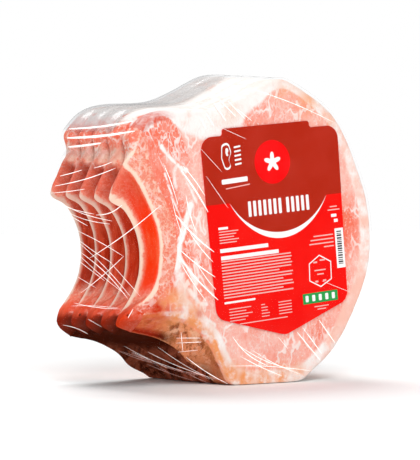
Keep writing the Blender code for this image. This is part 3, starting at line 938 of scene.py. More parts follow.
def makeBoneMaterial():
    material, tree, shader = startMaterial("sawnBone")
    grain, tones = boneGrain, boneColours
    place = objectPlace(tree)
    # how far back a chop is, which sets its painted shade and the painted light on its foot's ridge
    rear = field(tree, "rear")
    patch = noise(tree, place, *grain["patch"])
    pores = times(tree, veins(tree, place, *grain["pores"]), patches(tree, place, *grain["poresWhere"]))
    pores = sums(tree, "MAXIMUM", pores, patches(tree, place, *grain["beads"]))
    body = mixColour(tree, ramp(tree, patch, 0.45, 0.66), tones["core"], tones["marrow"])
    body = mixColour(tree, times(tree, pores, 0.45), body, tones["cream"])
    # red at the knob and at the foot; on the chops behind the foot is darker, painted shade, with a lighter
    # ridge on top, painted light
    height = addNode(tree, "ShaderNodeSeparateXYZ", {"Vector": place}).outputs["Z"]
    high = ramp(tree, height, *grain["high"])
    foot = mixColour(tree, rear, tones["footRed"], tones["footDark"])
    foot = mixColour(tree, times(tree, ramp(tree, height, *grain["ridge"]), rear), foot, tones["ridge"])
    redTone = mixColour(tree, high, foot, tones["knobRed"])
    red = sums(tree, "MAXIMUM", patches(tree, place, *grain["red"]), sums(tree, "SUBTRACT", 1.0, high))
    body = mixColour(tree, times(tree, field(tree, "red"), red), body, redTone)
    # cream at the edges, grey as painted shade on the chops behind, then the pale mottled frost
    edge = mixColour(tree, times(tree, rear, 0.6), tones["cream"], tones["grey"])
    mottled = times(tree, centred(tree, patch, 1.8), ramp(tree, field(tree, "cream"), 0.0, 0.3))
    cream = plus(tree, field(tree, "cream"), mottled, clamp=True)
    body = mixColour(tree, ramp(tree, cream, 0.3, 0.8), body, edge)
    swirls = times(tree, veins(tree, place, *grain["swirls"]), patches(tree, place, *grain["swirlsWhere"]))
    frost = sums(tree, "MAXIMUM", swirls, patches(tree, place, *grain["dots"]))
    body = mixColour(tree, times(tree, frost, field(tree, "mottle")), body, tones["frost"])
    # painted shade on the knobs and necks beside the chop in front
    body = mixColour(tree, times(tree, field(tree, "knobShade"), 0.48), body, tones["knobShade"])
    # the side of the rib, darker on the chops behind: painted shade
    streaks = ramp(tree, noise(tree, objectPlace(tree, **grain["through"]), *grain["streak"]), 0.42, 0.68)
    rib = mixColour(tree, rear, tones["rib"], tones["ribDark"])
    ribLight = mixColour(tree, rear, tones["ribStreak"], tones["ribDarkStreak"])
    body = mixColour(tree, field(tree, "rib"), body, mixColour(tree, streaks, rib, ribLight))
    # nearly black brown low on the foot, partly painted shade, the painted shade beside the chop in front,
    # and darker high on the front rib
    body = mixColour(tree, field(tree, "brown"), body, tones["brown"])
    finish(tree, shader, body, grain["rough"], 0.0, (patch, *grain["bump"]))
    return material


meatMaterial = makeMeatMaterial()
boneMaterial = makeBoneMaterial()
for index in range(stack["slices"]):
    makeMeat(index).data.materials.append(meatMaterial)
    makeBone(index).data.materials.append(boneMaterial)
print("chops ready")

# Label and its print, in mm from the label's centre, u to the right and v up along the label

labelPlan = {
    "centre": (14.6, 79.0),
    "turn": 5.5,             # degrees
    "topHalf": 41.45,        # half the dark field's width
    "shoulder": 45.5,
    "tab": (-28.5, 24.0, 48.9),   # left, right and top
    "corner": 6.5,
    "tabCorner": 1.4,
    "narrower": 0.45,        # of the field at its lower corners
    "layer": 0.03,           # thickness of a printed field
    "lift": 0.004,
    "fieldEdge": (12.6, 11.2),   # height of the dark field's lower edge at the left and right
    "bowl": (2.0, 34.7, -4.4),   # middle, radius and lowest point of the round edge in it
    "swoosh": 3.0,           # width of the white crescent under it
    "emblem": (0.0, 30.4, 10.8),   # u, v and radius
    "petals": (5, 3.6, 1.5),   # count, radius and depth
    "seed": 7,
    "rough": 0.5,
    "gloss": 0.08,
    "cloud": (0.35, 0.7),    # ramp of the faint clouds in the colours
}
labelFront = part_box("label")[0][1] / mm


def labelPoint(u, v, depth):
    turn = math.radians(labelPlan["turn"])
    x = labelPlan["centre"][0] + sideShift + u * math.cos(turn) - v * math.sin(turn)
    z = labelPlan["centre"][1] + u * math.sin(turn) + v * math.cos(turn)
    return (x * mm, (labelFront - depth) * mm, z * mm)


def roundedCorner(before, corner, after, radius, steps=6):
    toBefore = (before - corner).normalized()
    toAfter = (after - corner).normalized()
    half = toBefore.angle(toAfter) / 2
    reach = min(radius / math.tan(half), (before - corner).length * 0.5, (after - corner).length * 0.5)
    radius = reach * math.tan(half)
    centre = corner + (toBefore + toAfter).normalized() * radius / math.sin(half)
    start = corner + toBefore * reach - centre
    end = corner + toAfter * reach - centre
    return [centre + (start.lerp(end, k / steps)).normalized() * radius for k in range(steps + 1)]


def roundedShape(corners):
    # outline through (u, v, radius) corners
    points = []
    for i, (u, v, radius) in enumerate(corners):
        before = Vector(corners[i - 1][:2])
        after = Vector(corners[(i + 1) % len(corners)][:2])
        points += roundedCorner(before, Vector((u, v)), after, radius) if radius else [Vector((u, v))]
    return [(p.x, p.y) for p in points]


def bar(left, right, low, high, radius=0.4, slope=0.0):
    rise = (right - left) * slope
    return roundedShape(((left, high, radius), (right, high + rise, radius), (right, low + rise, radius),
                         (left, low, radius)))


def disc(u, v, radius, steps=48):
    return [(u + radius * math.sin(k / steps * 2 * math.pi), v + radius * math.cos(k / steps * 2 * math.pi))
            for k in range(steps)]


class PrintSheet:
    # gathers thin printed fields in one mesh with a material for each ink

    def __init__(self):
        self.edit = bmesh.new()
        self.inks = []

    def add(self, outline, ink, level, hole=None):
        if ink not in self.inks:
            self.inks.append(ink)
        low = labelPlan["lift"] + (level - 1) * labelPlan["layer"]
        high = low + labelPlan["layer"]
        loops = [outline] + ([hole] if hole else [])
        top = [[self.edit.verts.new(labelPoint(u, v, high)) for u, v in loop] for loop in loops]
        under = [[self.edit.verts.new(labelPoint(u, v, low)) for u, v in loop] for loop in loops]
        corners = []
        for upper, lower in zip(top, under):
            corners += band(upper, lower)
        for layer in (top, under):
            corners += band(*layer) if hole else [layer[0]]
        made = [self.edit.faces.new(face) for face in corners]
        bmesh.ops.recalc_face_normals(self.edit, faces=made)
        for face in made:
            face.material_index = self.inks.index(ink)

    def finish(self, name, materials):
        bmesh.ops.triangulate(self.edit, faces=[f for f in self.edit.faces if len(f.verts) > 4])
        mesh = bpy.data.meshes.new(name)
        self.edit.to_mesh(mesh)
        self.edit.free()
        for ink in self.inks:
            mesh.materials.append(materials[ink])
        return newObject(name, mesh)


def bowlPoints(extra, steps=40):
    # the round lower edge of the dark field, from right to left, lowered by extra at its middle
    middle, radius, lowest = labelPlan["bowl"]
    leftEdge, rightEdge = labelPlan["fieldEdge"]
    centreV = lowest + radius
    reach = math.sqrt(radius**2 - (centreV - (leftEdge + rightEdge) / 2)**2)
    points = []
    for k in range(steps + 1):
        share = k / steps
        u = middle + reach * (1 - 2 * share)
        v = centreV - math.sqrt(radius**2 - (u - middle)**2)
        tilt = (rightEdge - leftEdge) / (2 * reach) * (u - middle)
        points.append((u, v + tilt - extra * math.sin(share * math.pi)**0.8))
    return points


def printLabel(sheet):
    shoulder, corner, tabCorner = labelPlan["shoulder"], labelPlan["corner"], labelPlan["tabCorner"]
    top = labelPlan["topHalf"]
    lower = top - labelPlan["narrower"]
    tabLeft, tabRight, tabTop = labelPlan["tab"]
    leftEdge, rightEdge = labelPlan["fieldEdge"]
    dark = roundedShape((
        (-lower, leftEdge, 0.0), (-top, shoulder, corner), (tabLeft, shoulder, tabCorner),
        (tabLeft, tabTop, tabCorner), (tabRight, tabTop, tabCorner), (tabRight, shoulder, tabCorner),
        (top, shoulder, corner), (lower, rightEdge, 0.0),
    ))
    sheet.add(dark + bowlPoints(0.0), "brick", 1)
    crescent = bowlPoints(0.0)[::-1] + bowlPoints(labelPlan["swoosh"])[1:-1]
    sheet.add(crescent, "white", 2)
    sheet.add(disc(*labelPlan["emblem"]), "scarlet", 2)
    u, v, _ = labelPlan["emblem"]
    sheet.add([(u + du, v + dv) for du, dv in rosette()], "white", 3)


def rosette(steps=60):
    petals, radius, depth = labelPlan["petals"]
    points = []
    for k in range(steps):
        turn = k / steps * 2 * math.pi
        reach = radius + depth * math.cos(petals * turn)
        points.append((reach * math.sin(turn), reach * math.cos(turn)))
    return points


def shrunk(outline, size, shift=(0.0, 0.0)):
    middle = np.mean(outline, axis=0)
    return [tuple(middle + (np.array(p) - middle) * size + np.array(shift)) for p in outline]


labelMarks = {               # plain bars and shapes
    "chop": (                # u, v and corner radius
        (-29.6, 41.2, 2.0), (-25.4, 42.4, 2.0), (-24.0, 37.0, 3.0), (-25.9, 33.5, 3.0),
        (-24.4, 29.2, 1.8), (-28.4, 28.6, 1.8), (-30.2, 34.5, 3.0),
    ),
    "chopHole": 0.84,        # sizes of the shapes inside others
    "chopEye": (0.30, (0.4, 2.2)),
    "hexagon": ((24.2, -18.2), (31.3, -22.2), (30.9, -31.2), (23.8, -34.5), (16.9, -30.8), (17.4, -22.0)),
    "hexagonHole": 0.925,
    # left, right, low, high, corner radius, slope, ink, level, count, and the steps right and up
    "upperBars": (
        (-22.4, -18.4, 38.9, 39.8, 0.4, 0.1, "white", 2, 5, 0.0, -2.1),
        (-31.0, -15.6, 21.9, 24.3, 0.6, 0.03, "white", 2, 1, 0.0, 0.0),
        (-28.9, -14.5, 19.4, 19.9, 0.2, 0.08, "pink", 2, 1, 0.0, 0.0),
        (-16.6, -14.85, 4.8, 12.4, 0.5, 0.0, "white", 2, 7, 3.05, 0.0),
        (6.4, 8.15, 4.8, 12.4, 0.5, 0.0, "white", 2, 5, 3.05, 0.0),
    ),
    "lowerBars": (
        (12.1, 33.8, -42.0, -36.8, 0.2, 0.0, "green", 2, 1, 0.0, 0.0),
        (13.7, 15.6, -41.0, -37.8, 0.5, 0.0, "white", 3, 5, 4.1, 0.0),
        (34.9, 40.2, -26.2, -6.2, 0.3, 0.0, "white", 2, 1, 0.0, 0.0),
    ),
    "stripes": (-35.0, 7.4, -15.0, 1.48, 0.62, 13),   # left, right, top, pitch, height, count
    "shortStripes": (5, 8, 11),
    "lastStripe": (-35.0, -16.6, -35.0, 1.0),
    "columns": ((-32.6, 9, 14), (-13.5, 2, 5), (-3.0, 8, 8)),   # left, then least and greatest length
    "rows": (-38.6, 1.45, 0.45, 5),   # top, pitch, height, count
    "ladder": (36.0, 38.9, -7.6, -24.4),   # left, right, top and bottom
    "header": (              # left, right, top and height of plain lines
        (-35.2, -29.5, 1.4, 1.2),
        (-35.0, -23.5, -0.6, 0.5),
        (-35.0, -24.9, -1.95, 0.5),
        (-35.0, -26.3, -3.3, 0.5),
        (-35.0, -23.5, -4.65, 0.5),
        (-35.0, -24.9, -6.0, 0.5),
        (-35.1, -6.4, -9.1, 1.9),
        (-34.9, -0.4, -12.7, 1.9),
    ),
    "footer": (
        (-27.0, 2.0, -46.4, 0.45),
        (21.5, 33.8, -8.6, 0.6),
        (19.5, 33.8, -10.5, 0.6),
        (18.6, 33.8, -12.4, 0.6),
        (27.5, 33.8, -14.3, 0.6),
        (33.0, 37.5, 5.2, 0.55),
        (31.5, 39.0, 3.6, 0.55),
        (33.4, 36.8, 1.2, 1.5),
        (35.0, 37.4, -1.4, 1.6),
        (20.5, 27.5, -25.6, 0.6),
        (22.0, 26.2, -27.6, 0.6),
        (20.2, 22.6, -21.4, 0.8),
        (24.2, 27.6, -20.6, 0.8),
        (20.6, 22.4, -31.0, 0.9),
        (25.4, 27.4, -30.9, 0.9),
        (18.8, 27.8, -43.6, 0.5),
        (20.6, 26.0, -45.0, 0.5),
    ),
    "bold": 0.9,             # lines higher than this are white
}


def addBars(sheet, table):
    for left, right, low, high, radius, slope, ink, level, count, across, up in table:
        for k in range(count):
            moved = (left + k * across, right + k * across, low + k * up, high + k * up)
            sheet.add(bar(*moved, radius, slope), ink, level)


def markLines(draw):
    # left, right, top and height of every thin line
    lines = list(labelMarks["header"])
    left, right, top, pitch, tall, count = labelMarks["stripes"]
    for k in range(count):
        short = draw.uniform(6, 12) if k in labelMarks["shortStripes"] else draw.uniform(0, 1.5)
        lines.append((left, right - short, top - pitch * k, tall))
    lines.append(labelMarks["lastStripe"])
    top, pitch, tall, count = labelMarks["rows"]
    for k in range(count):
        for left, shortest, longest in labelMarks["columns"]:
            length = draw.uniform(shortest, longest) if longest > shortest else longest
            lines.append((left, left + length, top - pitch * k, tall))
    return lines + list(labelMarks["footer"])


def printMarks(sheet):
    draw = random.Random(labelPlan["seed"])
    chop = roundedShape(labelMarks["chop"])
    sheet.add(chop, "white", 2, hole=shrunk(chop, labelMarks["chopHole"]))
    sheet.add(shrunk(chop, *labelMarks["chopEye"]), "white", 2)
    addBars(sheet, labelMarks["upperBars"])
    for left, right, high, tall in markLines(draw):
        ink = "white" if tall > labelMarks["bold"] else "pink"
        sheet.add(bar(left, right, high - tall, high, min(0.25, tall / 2.2)), ink, 2)
    hexagon = labelMarks["hexagon"]
    sheet.add(hexagon, "white", 2, hole=shrunk(hexagon, labelMarks["hexagonHole"]))
    addBars(sheet, labelMarks["lowerBars"])
    left, right, v, bottom = labelMarks["ladder"]
    while v > bottom:                                    # dark bars of three heights
        tall = draw.choice((0.35, 0.55, 0.8))
        sheet.add(bar(left, right, v - tall, v, 0.05), "ink", 3)
        v -= tall + draw.choice((0.4, 0.55))


inkColours = {
    "brick": (0.44, 0.018, 0.004),
    "white": (0.93, 0.91, 0.90),
    "scarlet": (0.93, 0.0, 0.001),
    "pink": (0.88, 0.48, 0.45),
    "green": (0.02, 0.33, 0.07),
    "ink": (0.03, 0.03, 0.035),
}
paperColours = ((0.90, 0.003, 0.001), (0.93, 0.008, 0.004))


def makeInk(name, rgb):
    material, tree, shader = startMaterial(f"ink_{name}")
    cloud = patches(tree, objectPlace(tree), (60, 3), labelPlan["cloud"])
    lighter = tuple(min(1.0, c * 1.06 + 0.006) for c in rgb)
    finish(tree, shader, mixColour(tree, cloud, rgb, lighter), labelPlan["rough"], labelPlan["gloss"])
    return material


sheet = PrintSheet()
printLabel(sheet)
printMarks(sheet)
labelPrint = sheet.finish("labelPrint", {name: makeInk(name, rgb) for name, rgb in inkColours.items()})
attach(labelPrint, "root")


def makeLabelMaterial():
    material, tree, shader = startMaterial("labelPaper")
    place = objectPlace(tree)
    cloud = patches(tree, place, (45, 3), labelPlan["cloud"])
    fibres = noise(tree, place, 900, 2)
    finish(tree, shader, mixColour(tree, cloud, *paperColours), labelPlan["rough"], labelPlan["gloss"],
           (fibres, 0.1, 0.0001))
    return material


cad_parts["label"].data.materials.clear()
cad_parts["label"].data.materials.append(makeLabelMaterial())
print("label ready")

# Film

filmPlan = {
    "rays": 256,
    "centre": (-5.0, 72.0),
    "clear": 0.75,           # mm off the meat
    "sag": 0.42,             # mm that the film sinks for each mm between two chops
    "sagFrom": 1.5,
    "hold": 3.0,             # steepest way into a hollow
    "holdSteps": 6,          # neighbours on each side that hold a ray up
    "pinches": ((-78.4, 30.0, 93.6), (-75.4, 29.0, 35.0)),   # x, y, z where the film is gathered to a point
    "edgeRadius": 2.6,
    "faceClear": 0.95,
    "edgeSteps": 6,
    "sideSteps": 44,
    "lowest": 0.06,
    "ripple": 0.16,
    "rippleLift": 0.4,
    "ripples": 9,
    "rippleRanges": ((0.05, 0.35), (3, 23), (0, 6.28)),   # turn for each mm of depth, waves round, start
    "rippleSeed": 5,
    "faceRings": (0.93, 0.8, 0.6, 0.35),   # sizes of the rings on the two faces
}

filmLook = {
    "clear": (0.42, 0.41, 0.41),
    # grey of the double layer, partly painted shade
    "lapShadeTone": (0.66, 0.66, 0.67),
    "clearCover": 0.002,     # how much of what is behind it the film hides, seen straight on
    "rimCover": 0.9,         # more at its outline
    "rimPower": 24.0,
    "haze": 0.012,
    "lapShadeCover": 0.55,        # where it lies double on top at the back, which also stands in for painted shade on the tops of the chops behind
    "lapShadeFrom": (0.0, 9.0),   # mm between clear and double, along the lap's slant
    "lapShadeSlant": 0.25,
    "lapShadeUp": (0.35, 0.7),    # how far up the film has to face there
    "lapShadeLeft": (8, 22),      # and where it ends, in mm along x and z
    "lapShadeAbove": (108, 120),
    "rimAbove": (112, 128),  # where the outline is less clear
    "rimRight": (15, 50),
    "ripple": (220, 3, 0.6),
    "rippleAlong": {"scale": (1, 1, 0.35), "turn": (0, math.radians(-35), 0)},
    "bump": (0.5, 0.0006),
    "rough": 0.2,
    "gloss": 0.5,
}


def filmReach(points):
    # how far the film lies from its centre along each ray, held off by a cloud of points
    rays = filmPlan["rays"]
    spokes = points - np.array(filmPlan["centre"])
    reach = np.zeros(rays)
    for ray in range(rays):
        angle = ray / rays * 2 * math.pi
        along = spokes[:, 0] * math.cos(angle) + spokes[:, 1] * math.sin(angle)
        across = spokes[:, 0] * math.sin(angle) - spokes[:, 1] * math.cos(angle)
        near = (np.abs(across) < filmPlan["clear"]) & (along > 0)
        if near.any():
            reach[ray] = np.max(along[near] + np.sqrt(filmPlan["clear"]**2 - across[near]**2))
    return reach


def stretched(reach):
    # film can't follow a tight hollow: each ray is held up by its neighbours
    rays = len(reach)
    step = 2 * math.pi / rays
    held = reach.copy()
    for shift in range(1, filmPlan["holdSteps"] + 1):
        drop = filmPlan["hold"] * shift * step * reach
        held = np.maximum(held, np.maximum(np.roll(reach, shift), np.roll(reach, -shift)) - drop)
    return (np.roll(held, 1) + held * 2 + np.roll(held, -1)) / 4


def filmStops():
    # y of each loop round the stack, and how far it is drawn in at the edges of the two faces
    radius, steps = filmPlan["edgeRadius"], filmPlan["edgeSteps"]
    back = stack["slices"] * stack["pitch"] / 2 + filmPlan["faceClear"]
    front = -back
    turns = [k / steps * math.pi / 2 for k in range(steps)]
    edge = [(front + radius * (1 - math.cos(turn)), radius * (1 - math.sin(turn))) for turn in turns]
    between = [(y, 0.0) for y in np.linspace(front + radius, back - radius, filmPlan["sideSteps"])]
    return edge + between + [(front + back - y, inset) for y, inset in edge[::-1]]


def filmLoops():
    # the film's x and z at each stop
    held = []
    for rings, _, _, _ in allRings:
        for y, outline, _ in rings[1:-1]:
            middles = (outline + np.roll(outline, -1, axis=0)) / 2
            held.append((y, filmReach(np.concatenate([outline, middles]))))
    held += [(y, filmReach(np.array([(x, z)]))) for x, y, z in filmPlan["pinches"]]
    angles = np.arange(filmPlan["rays"]) / filmPlan["rays"] * 2 * math.pi
    spokes = np.stack([np.cos(angles), np.sin(angles)], axis=1)
    draw = random.Random(filmPlan["rippleSeed"])
    ranges, count = filmPlan["rippleRanges"], filmPlan["ripples"]
    waves = [[draw.uniform(*limits) for limits in ranges] for _ in range(count)]
    sag, sagFrom = filmPlan["sag"], filmPlan["sagFrom"]
    loops = []
    for y, inset in filmStops():
        reach = np.max([r - sag * max(0.0, abs(y - at) - sagFrom) for at, r in held], axis=0)
        ripple = sum(np.sin(angles * round(turns) + y * rate + start) for rate, turns, start in waves)
        lift = filmPlan["ripple"] * (filmPlan["rippleLift"] + ripple / count) * (inset == 0.0)
        loop = np.array(filmPlan["centre"]) + spokes * (stretched(reach) - inset + lift)[:, None]
        loop[:, 1] = np.clip(loop[:, 1], filmPlan["lowest"], None)
        loops.append((y, loop))
    return loops


def makeFilm():
    edit = bmesh.new()
    loops = []
    for y, loop in filmLoops():
        loops.append([edit.verts.new(((x + sideShift) * mm, y * mm, z * mm)) for x, z in loop])
    corners = []
    for near, far in zip(loops, loops[1:]):
        corners += band(near, far)
    middle = filmPlan["centre"]
    middle = Vector(((middle[0] + sideShift) * mm, 0, middle[1] * mm))
    for outer in (loops[0], loops[-1]):
        middle.y = outer[0].co.y
        edge = [v.co.copy() for v in outer]
        for size in filmPlan["faceRings"]:
            ring = [edit.verts.new(middle.lerp(place, size)) for place in edge]
            corners += band(outer, ring)
            outer = ring
        hub = edit.verts.new(middle)
        corners += [(near, far, hub) for near, far, _, _ in band(outer, outer)]
    for face in corners:
        edit.faces.new(face)
    mesh = bpy.data.meshes.new("film")
    edit.to_mesh(mesh)
    edit.free()
    faceOutwards(mesh)
    film = newObject("film", mesh)
    up = np.array([v.normal.z for v in mesh.vertices])
    x, y, z = np.array([v.co[:] for v in mesh.vertices]).T / mm
    # the double layer on top at the back, partly painted shade of the chops behind
    lapShade = smooth(y - filmLook["lapShadeSlant"] * x, *filmLook["lapShadeFrom"]) * smooth(up, *filmLook["lapShadeUp"])
    lapShade = lapShade * (1 - smooth(x, *filmLook["lapShadeLeft"])) * smooth(z, *filmLook["lapShadeAbove"])
    rim = np.maximum(smooth(z, *filmLook["rimAbove"]), smooth(x, *filmLook["rimRight"]))
    setFields(film, {"lapShade": lapShade, "rim": rim})
    return film


def makeFilmMaterial():
    material, tree, shader = startMaterial("clearFilm")
    place = objectPlace(tree)
    edge = addNode(tree, "ShaderNodeLayerWeight", {"Blend": 0.5}).outputs["Facing"]
    rim = times(tree, sums(tree, "POWER", edge, filmLook["rimPower"]), filmLook["rimCover"])
    rim = times(tree, rim, field(tree, "rim"))
    haze = patches(tree, place, (38, 3), (0.5, 0.8, 0.0, filmLook["haze"]))
    # the double layer on top at the back, partly painted shade of the chops behind
    lapShade = times(tree, field(tree, "lapShade"), patches(tree, place, (70, 3), (0.3, 0.6, 0.75, 1.0)))
    cover = plus(tree, plus(tree, filmLook["clearCover"], haze), rim)
    cover = plus(tree, cover, times(tree, lapShade, filmLook["lapShadeCover"]), clamp=True)
    tone = mixColour(tree, lapShade, filmLook["clear"], filmLook["lapShadeTone"])
    ripple = noise(tree, objectPlace(tree, **filmLook["rippleAlong"]), *filmLook["ripple"])
    finish(tree, shader, tone, filmLook["rough"], filmLook["gloss"], (ripple, *filmLook["bump"]))
    tree.links.new(cover, shader.inputs["Alpha"])
    return material


film = makeFilm()
film.data.materials.append(makeFilmMaterial())
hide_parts("film_wrap")
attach(film, "root")
filmPlaces = [v.co[:] for v in film.data.vertices]
filmTree = BVHTree.FromPolygons(filmPlaces, [face.vertices[:] for face in film.data.polygons])
print("film ready")

# Creases of the film: each is a line on the photograph that is laid on the film, with its width in mm. They
# are drawn white and glowing: painted highlights along the wrinkles

creasePlan = {
    "spacing": 1.6,          # pixels between points of a crease
    "backSpacing": 2.2,      # mm, where the photograph doesn't look
    "floorGap": 1.2,
    "fewest": 4,             # points of a crease that is kept
    "lift": 0.05,            # mm off the film
    "wide": 0.3,             # mm of half width for a width of 1
    "thin": (0.15, 0.35),    # its share at the ends, and how soon it widens
    "sides": 6,
    "flatness": 0.16,
    # emission of the painted highlights
    "highlightGlow": 0.42,
    "rough": 0.25,
    "gloss": 0.1,
    "seed": 19,
    "photoLines": (          # start pixel, end pixel, bow in pixels, width
        ((69, 129), (134, 121), 1.5, 2.2),
        ((67, 138), (135, 131), 1.5, 2.4),
        ((68, 147), (101, 143), 0.5, 2.0),
        ((60, 176), (82, 170), 0.3, 0.77),
        ((55, 186), (116, 168), 2.0, 0.85),
        ((94, 168), (112, 162), 0.5, 0.68),
        ((51, 193), (85, 189), 0.5, 0.59),
        ((50, 196), (112, 221), 4.0, 0.85),
        ((49, 198), (110, 224), 6.0, 0.68),
        ((49, 199), (94, 214), 2.0, 0.94),
        ((48, 200), (88, 226), 1.0, 0.68),
        ((96, 215), (122, 205), 3.0, 1.01),
        ((76, 230), (123, 256), -1.0, 0.61),
        ((74, 236), (112, 263), 1.0, 0.61),
        ((77, 241), (130, 296), -2.0, 0.54),
        ((79, 251), (128, 299), -3.0, 0.68),
        ((80, 256), (125, 294), 1.0, 0.47),
        ((79, 261), (105, 281), 0.0, 0.47),
        ((78, 277), (96, 288), 0.0, 0.41),
        ((110, 262), (140, 296), 0.0, 0.47),
        ((90, 258), (161, 205), 2.0, 0.81),
        ((81, 293), (124, 256), 1.0, 0.81),
        ((74, 303), (120, 309), 1.5, 0.54),
        ((71, 306), (118, 308), -1.0, 0.41),
        ((88, 319), (102, 327), 0.0, 0.47),
        ((63, 325), (88, 334), -1.5, 0.81),
        ((128, 318), (133, 309), 0.0, 0.61),
        ((132, 352), (186, 372), 1.0, 0.55),
        ((148, 352), (206, 376), 1.5, 0.70),
        ((158, 347), (214, 380), 2.0, 0.50),
        ((124, 346), (168, 368), 0.5, 0.45),
        ((178, 255), (218, 300), 2.0, 1.27),
        ((180, 250), (215, 277), 1.0, 1.10),
        ((178, 258), (206, 301), 1.0, 0.77),
        ((176, 215), (214, 252), 2.0, 1.53),
        ((181, 170), (208, 212), -1.0, 1.53),
        ((183, 166), (205, 196), -1.0, 0.85),
        ((186, 196), (196, 232), 1.0, 1.02),
        ((163, 163), (178, 205), -1.0, 0.77),
        ((172, 200), (184, 240), 1.0, 0.68),
        ((186, 226), (178, 252), 0.0, 1.19),
        ((190, 233), (213, 262), 1.0, 0.85),
        ((196, 262), (216, 290), 1.0, 0.68),
        ((214, 103), (226, 121), 0.0, 0.90),
        ((220, 100), (236, 117), 0.0, 0.68),
        ((228, 101), (245, 119), 0.0, 0.68),
        ((206, 113), (214, 126), 0.0, 0.75),
        ((200, 118), (207, 130), 0.0, 0.68),
        ((255, 90), (333, 122), -2.0, 0.68),
        ((236, 108), (252, 121), 0.0, 0.52),
        ((200, 148), (222, 172), 0.0, 0.33),
        ((222, 128), (246, 139), 0.0, 0.33),
        ((206, 176), (228, 208), 0.0, 0.34),
        ((322, 281), (350, 292), 0.0, 0.30),
        ((297, 332), (320, 360), 0.0, 1.05),
        ((303, 328), (322, 354), 0.0, 0.90),
        ((319, 320), (335, 343), 0.0, 0.98),
        ((278, 337), (288, 349), 0.0, 0.45),
        ((232, 336), (268, 366), 4.0, 0.90),
        ((238, 345), (290, 369), 3.0, 0.68),
        ((252, 350), (300, 374), 2.0, 0.60),
        ((240, 356), (282, 376), 1.0, 0.75),
        ((230, 366), (312, 371), -2.0, 0.60),
        ((186, 357), (228, 384), 1.5, 1.20),
        ((176, 338), (200, 338), 0.0, 0.52),
        ((176, 343), (201, 342), 0.0, 0.68),
        ((181, 332), (183, 352), 0.0, 0.52),
        ((178, 352), (198, 350), 0.0, 0.45),
    ),
    "underCover": 0.55,      # how dense the streaks below are
    # colour of the painted highlights
    "tint": (1.0, 0.95, 0.93),
    "pinkTint": (1.0, 0.64, 0.58),           # of the streaks below
    "underLines": 10,        # streaks on the belly that run back under the pack
    "underFrom": ((112, 350), (196, 374)),   # pixels between which they start
    "underStray": (6, 4),
    "underReach": ((24, 52), (9, 19)),       # how far they go, right and down
    "underWidths": (0.3, 0.75),
}

backPlan = {                 # fans of creases on the back face, in metres
    "hubs": ((-0.045, 0.110), (0.035, 0.118), (0.050, 0.045), (-0.030, 0.050), (0.000, 0.085)),
    "lines": 46,
    "turn": (-0.7, 0.5),     # middle and spread, in radians
    "reach": (0.018, 0.050),
    "stray": 0.006,
    "widths": (0.4, 1.0),
    "cover": 0.7,
}

fatSidePlan = {              # ties from face to face over the fat side, in metres
    "lines": 14,
    "turns": (-42, 75),      # degrees
    "lean": 0.18,
    "radius": 0.078,
    "middle": 0.072,
    "depth": 0.024,
    "widths": (0.4, 0.9),
    "cover": 0.8,
}


def creasePath(start, end, bow):
    # points and normals of a crease between two pixels. It ends where it leaves the film
    start, end = Vector(start), Vector(end)
    length = (end - start).length
    across = Vector((-(end - start).y, (end - start).x)).normalized()
    count = max(5, int(length / creasePlan["spacing"]))
    path = []
    for k in range(count + 1):
        share = k / count
        pixel = start.lerp(end, share) + across * bow * math.sin(share * math.pi)
        hit, normal, _, _ = filmTree.ray_cast(camera.location, pixelRay(*pixel))
        if hit is None:
            if path:
                break
            continue
        path.append((hit + normal * creasePlan["lift"] * mm, normal))
    return path


def surfacePath(origin, target):
    # points and normals of a crease between two places, each pulled on to the film
    count = max(8, int((target - origin).length / (creasePlan["backSpacing"] * mm)))
    path = []
    for k in range(count + 1):
        hit, normal, _, _ = filmTree.find_nearest(origin.lerp(target, k / count))
        if hit is not None and hit.z >= creasePlan["floorGap"] * mm:
            path.append((hit + normal * creasePlan["lift"] * mm, normal))
    return path


def backCreases(draw):
    # creases where the photograph doesn't look
    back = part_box("film_wrap")[1][1]
    hubs, stray = backPlan["hubs"], backPlan["stray"]
    paths = []
    for k in range(backPlan["lines"]):
        x, z = hubs[k % len(hubs)]
        turn = draw.gauss(*backPlan["turn"]) + math.pi * (k % 2)
        reach = draw.uniform(*backPlan["reach"])
        start = Vector((x + draw.uniform(-stray, stray), back, z + draw.uniform(-stray, stray)))
        end = start + Vector((math.cos(turn) * reach, 0, math.sin(turn) * reach))
        paths.append((surfacePath(start, end), draw.uniform(*backPlan["widths"]), backPlan["cover"]))
    radius, middle, depth = fatSidePlan["radius"], fatSidePlan["middle"], fatSidePlan["depth"]
    for k in range(fatSidePlan["lines"]):
        turn = math.radians(draw.uniform(*fatSidePlan["turns"]))
        lean = turn + draw.uniform(-fatSidePlan["lean"], fatSidePlan["lean"])
        start = Vector((math.cos(turn) * radius, -depth, middle + math.sin(turn) * radius))
        end = Vector((math.cos(lean) * radius, depth, middle + math.sin(lean) * radius))
        paths.append((surfacePath(start, end), draw.uniform(*fatSidePlan["widths"]), fatSidePlan["cover"]))
    return paths


def underCreases(draw):
    # streaks on the belly, seen from below the bone
    first, last = creasePlan["underFrom"]
    paths = []
    for k in range(creasePlan["underLines"]):
        share = (k + draw.uniform(0.0, 0.7)) / creasePlan["underLines"]
        place = Vector(first).lerp(Vector(last), share)
        start = place + Vector([draw.uniform(-stray, stray) for stray in creasePlan["underStray"]])
        end = start + Vector([draw.uniform(*reach) for reach in creasePlan["underReach"]])
        path = creasePath(start, end, draw.uniform(-1, 1))
        paths.append((path, draw.uniform(*creasePlan["underWidths"]), creasePlan["underCover"]))
    return paths


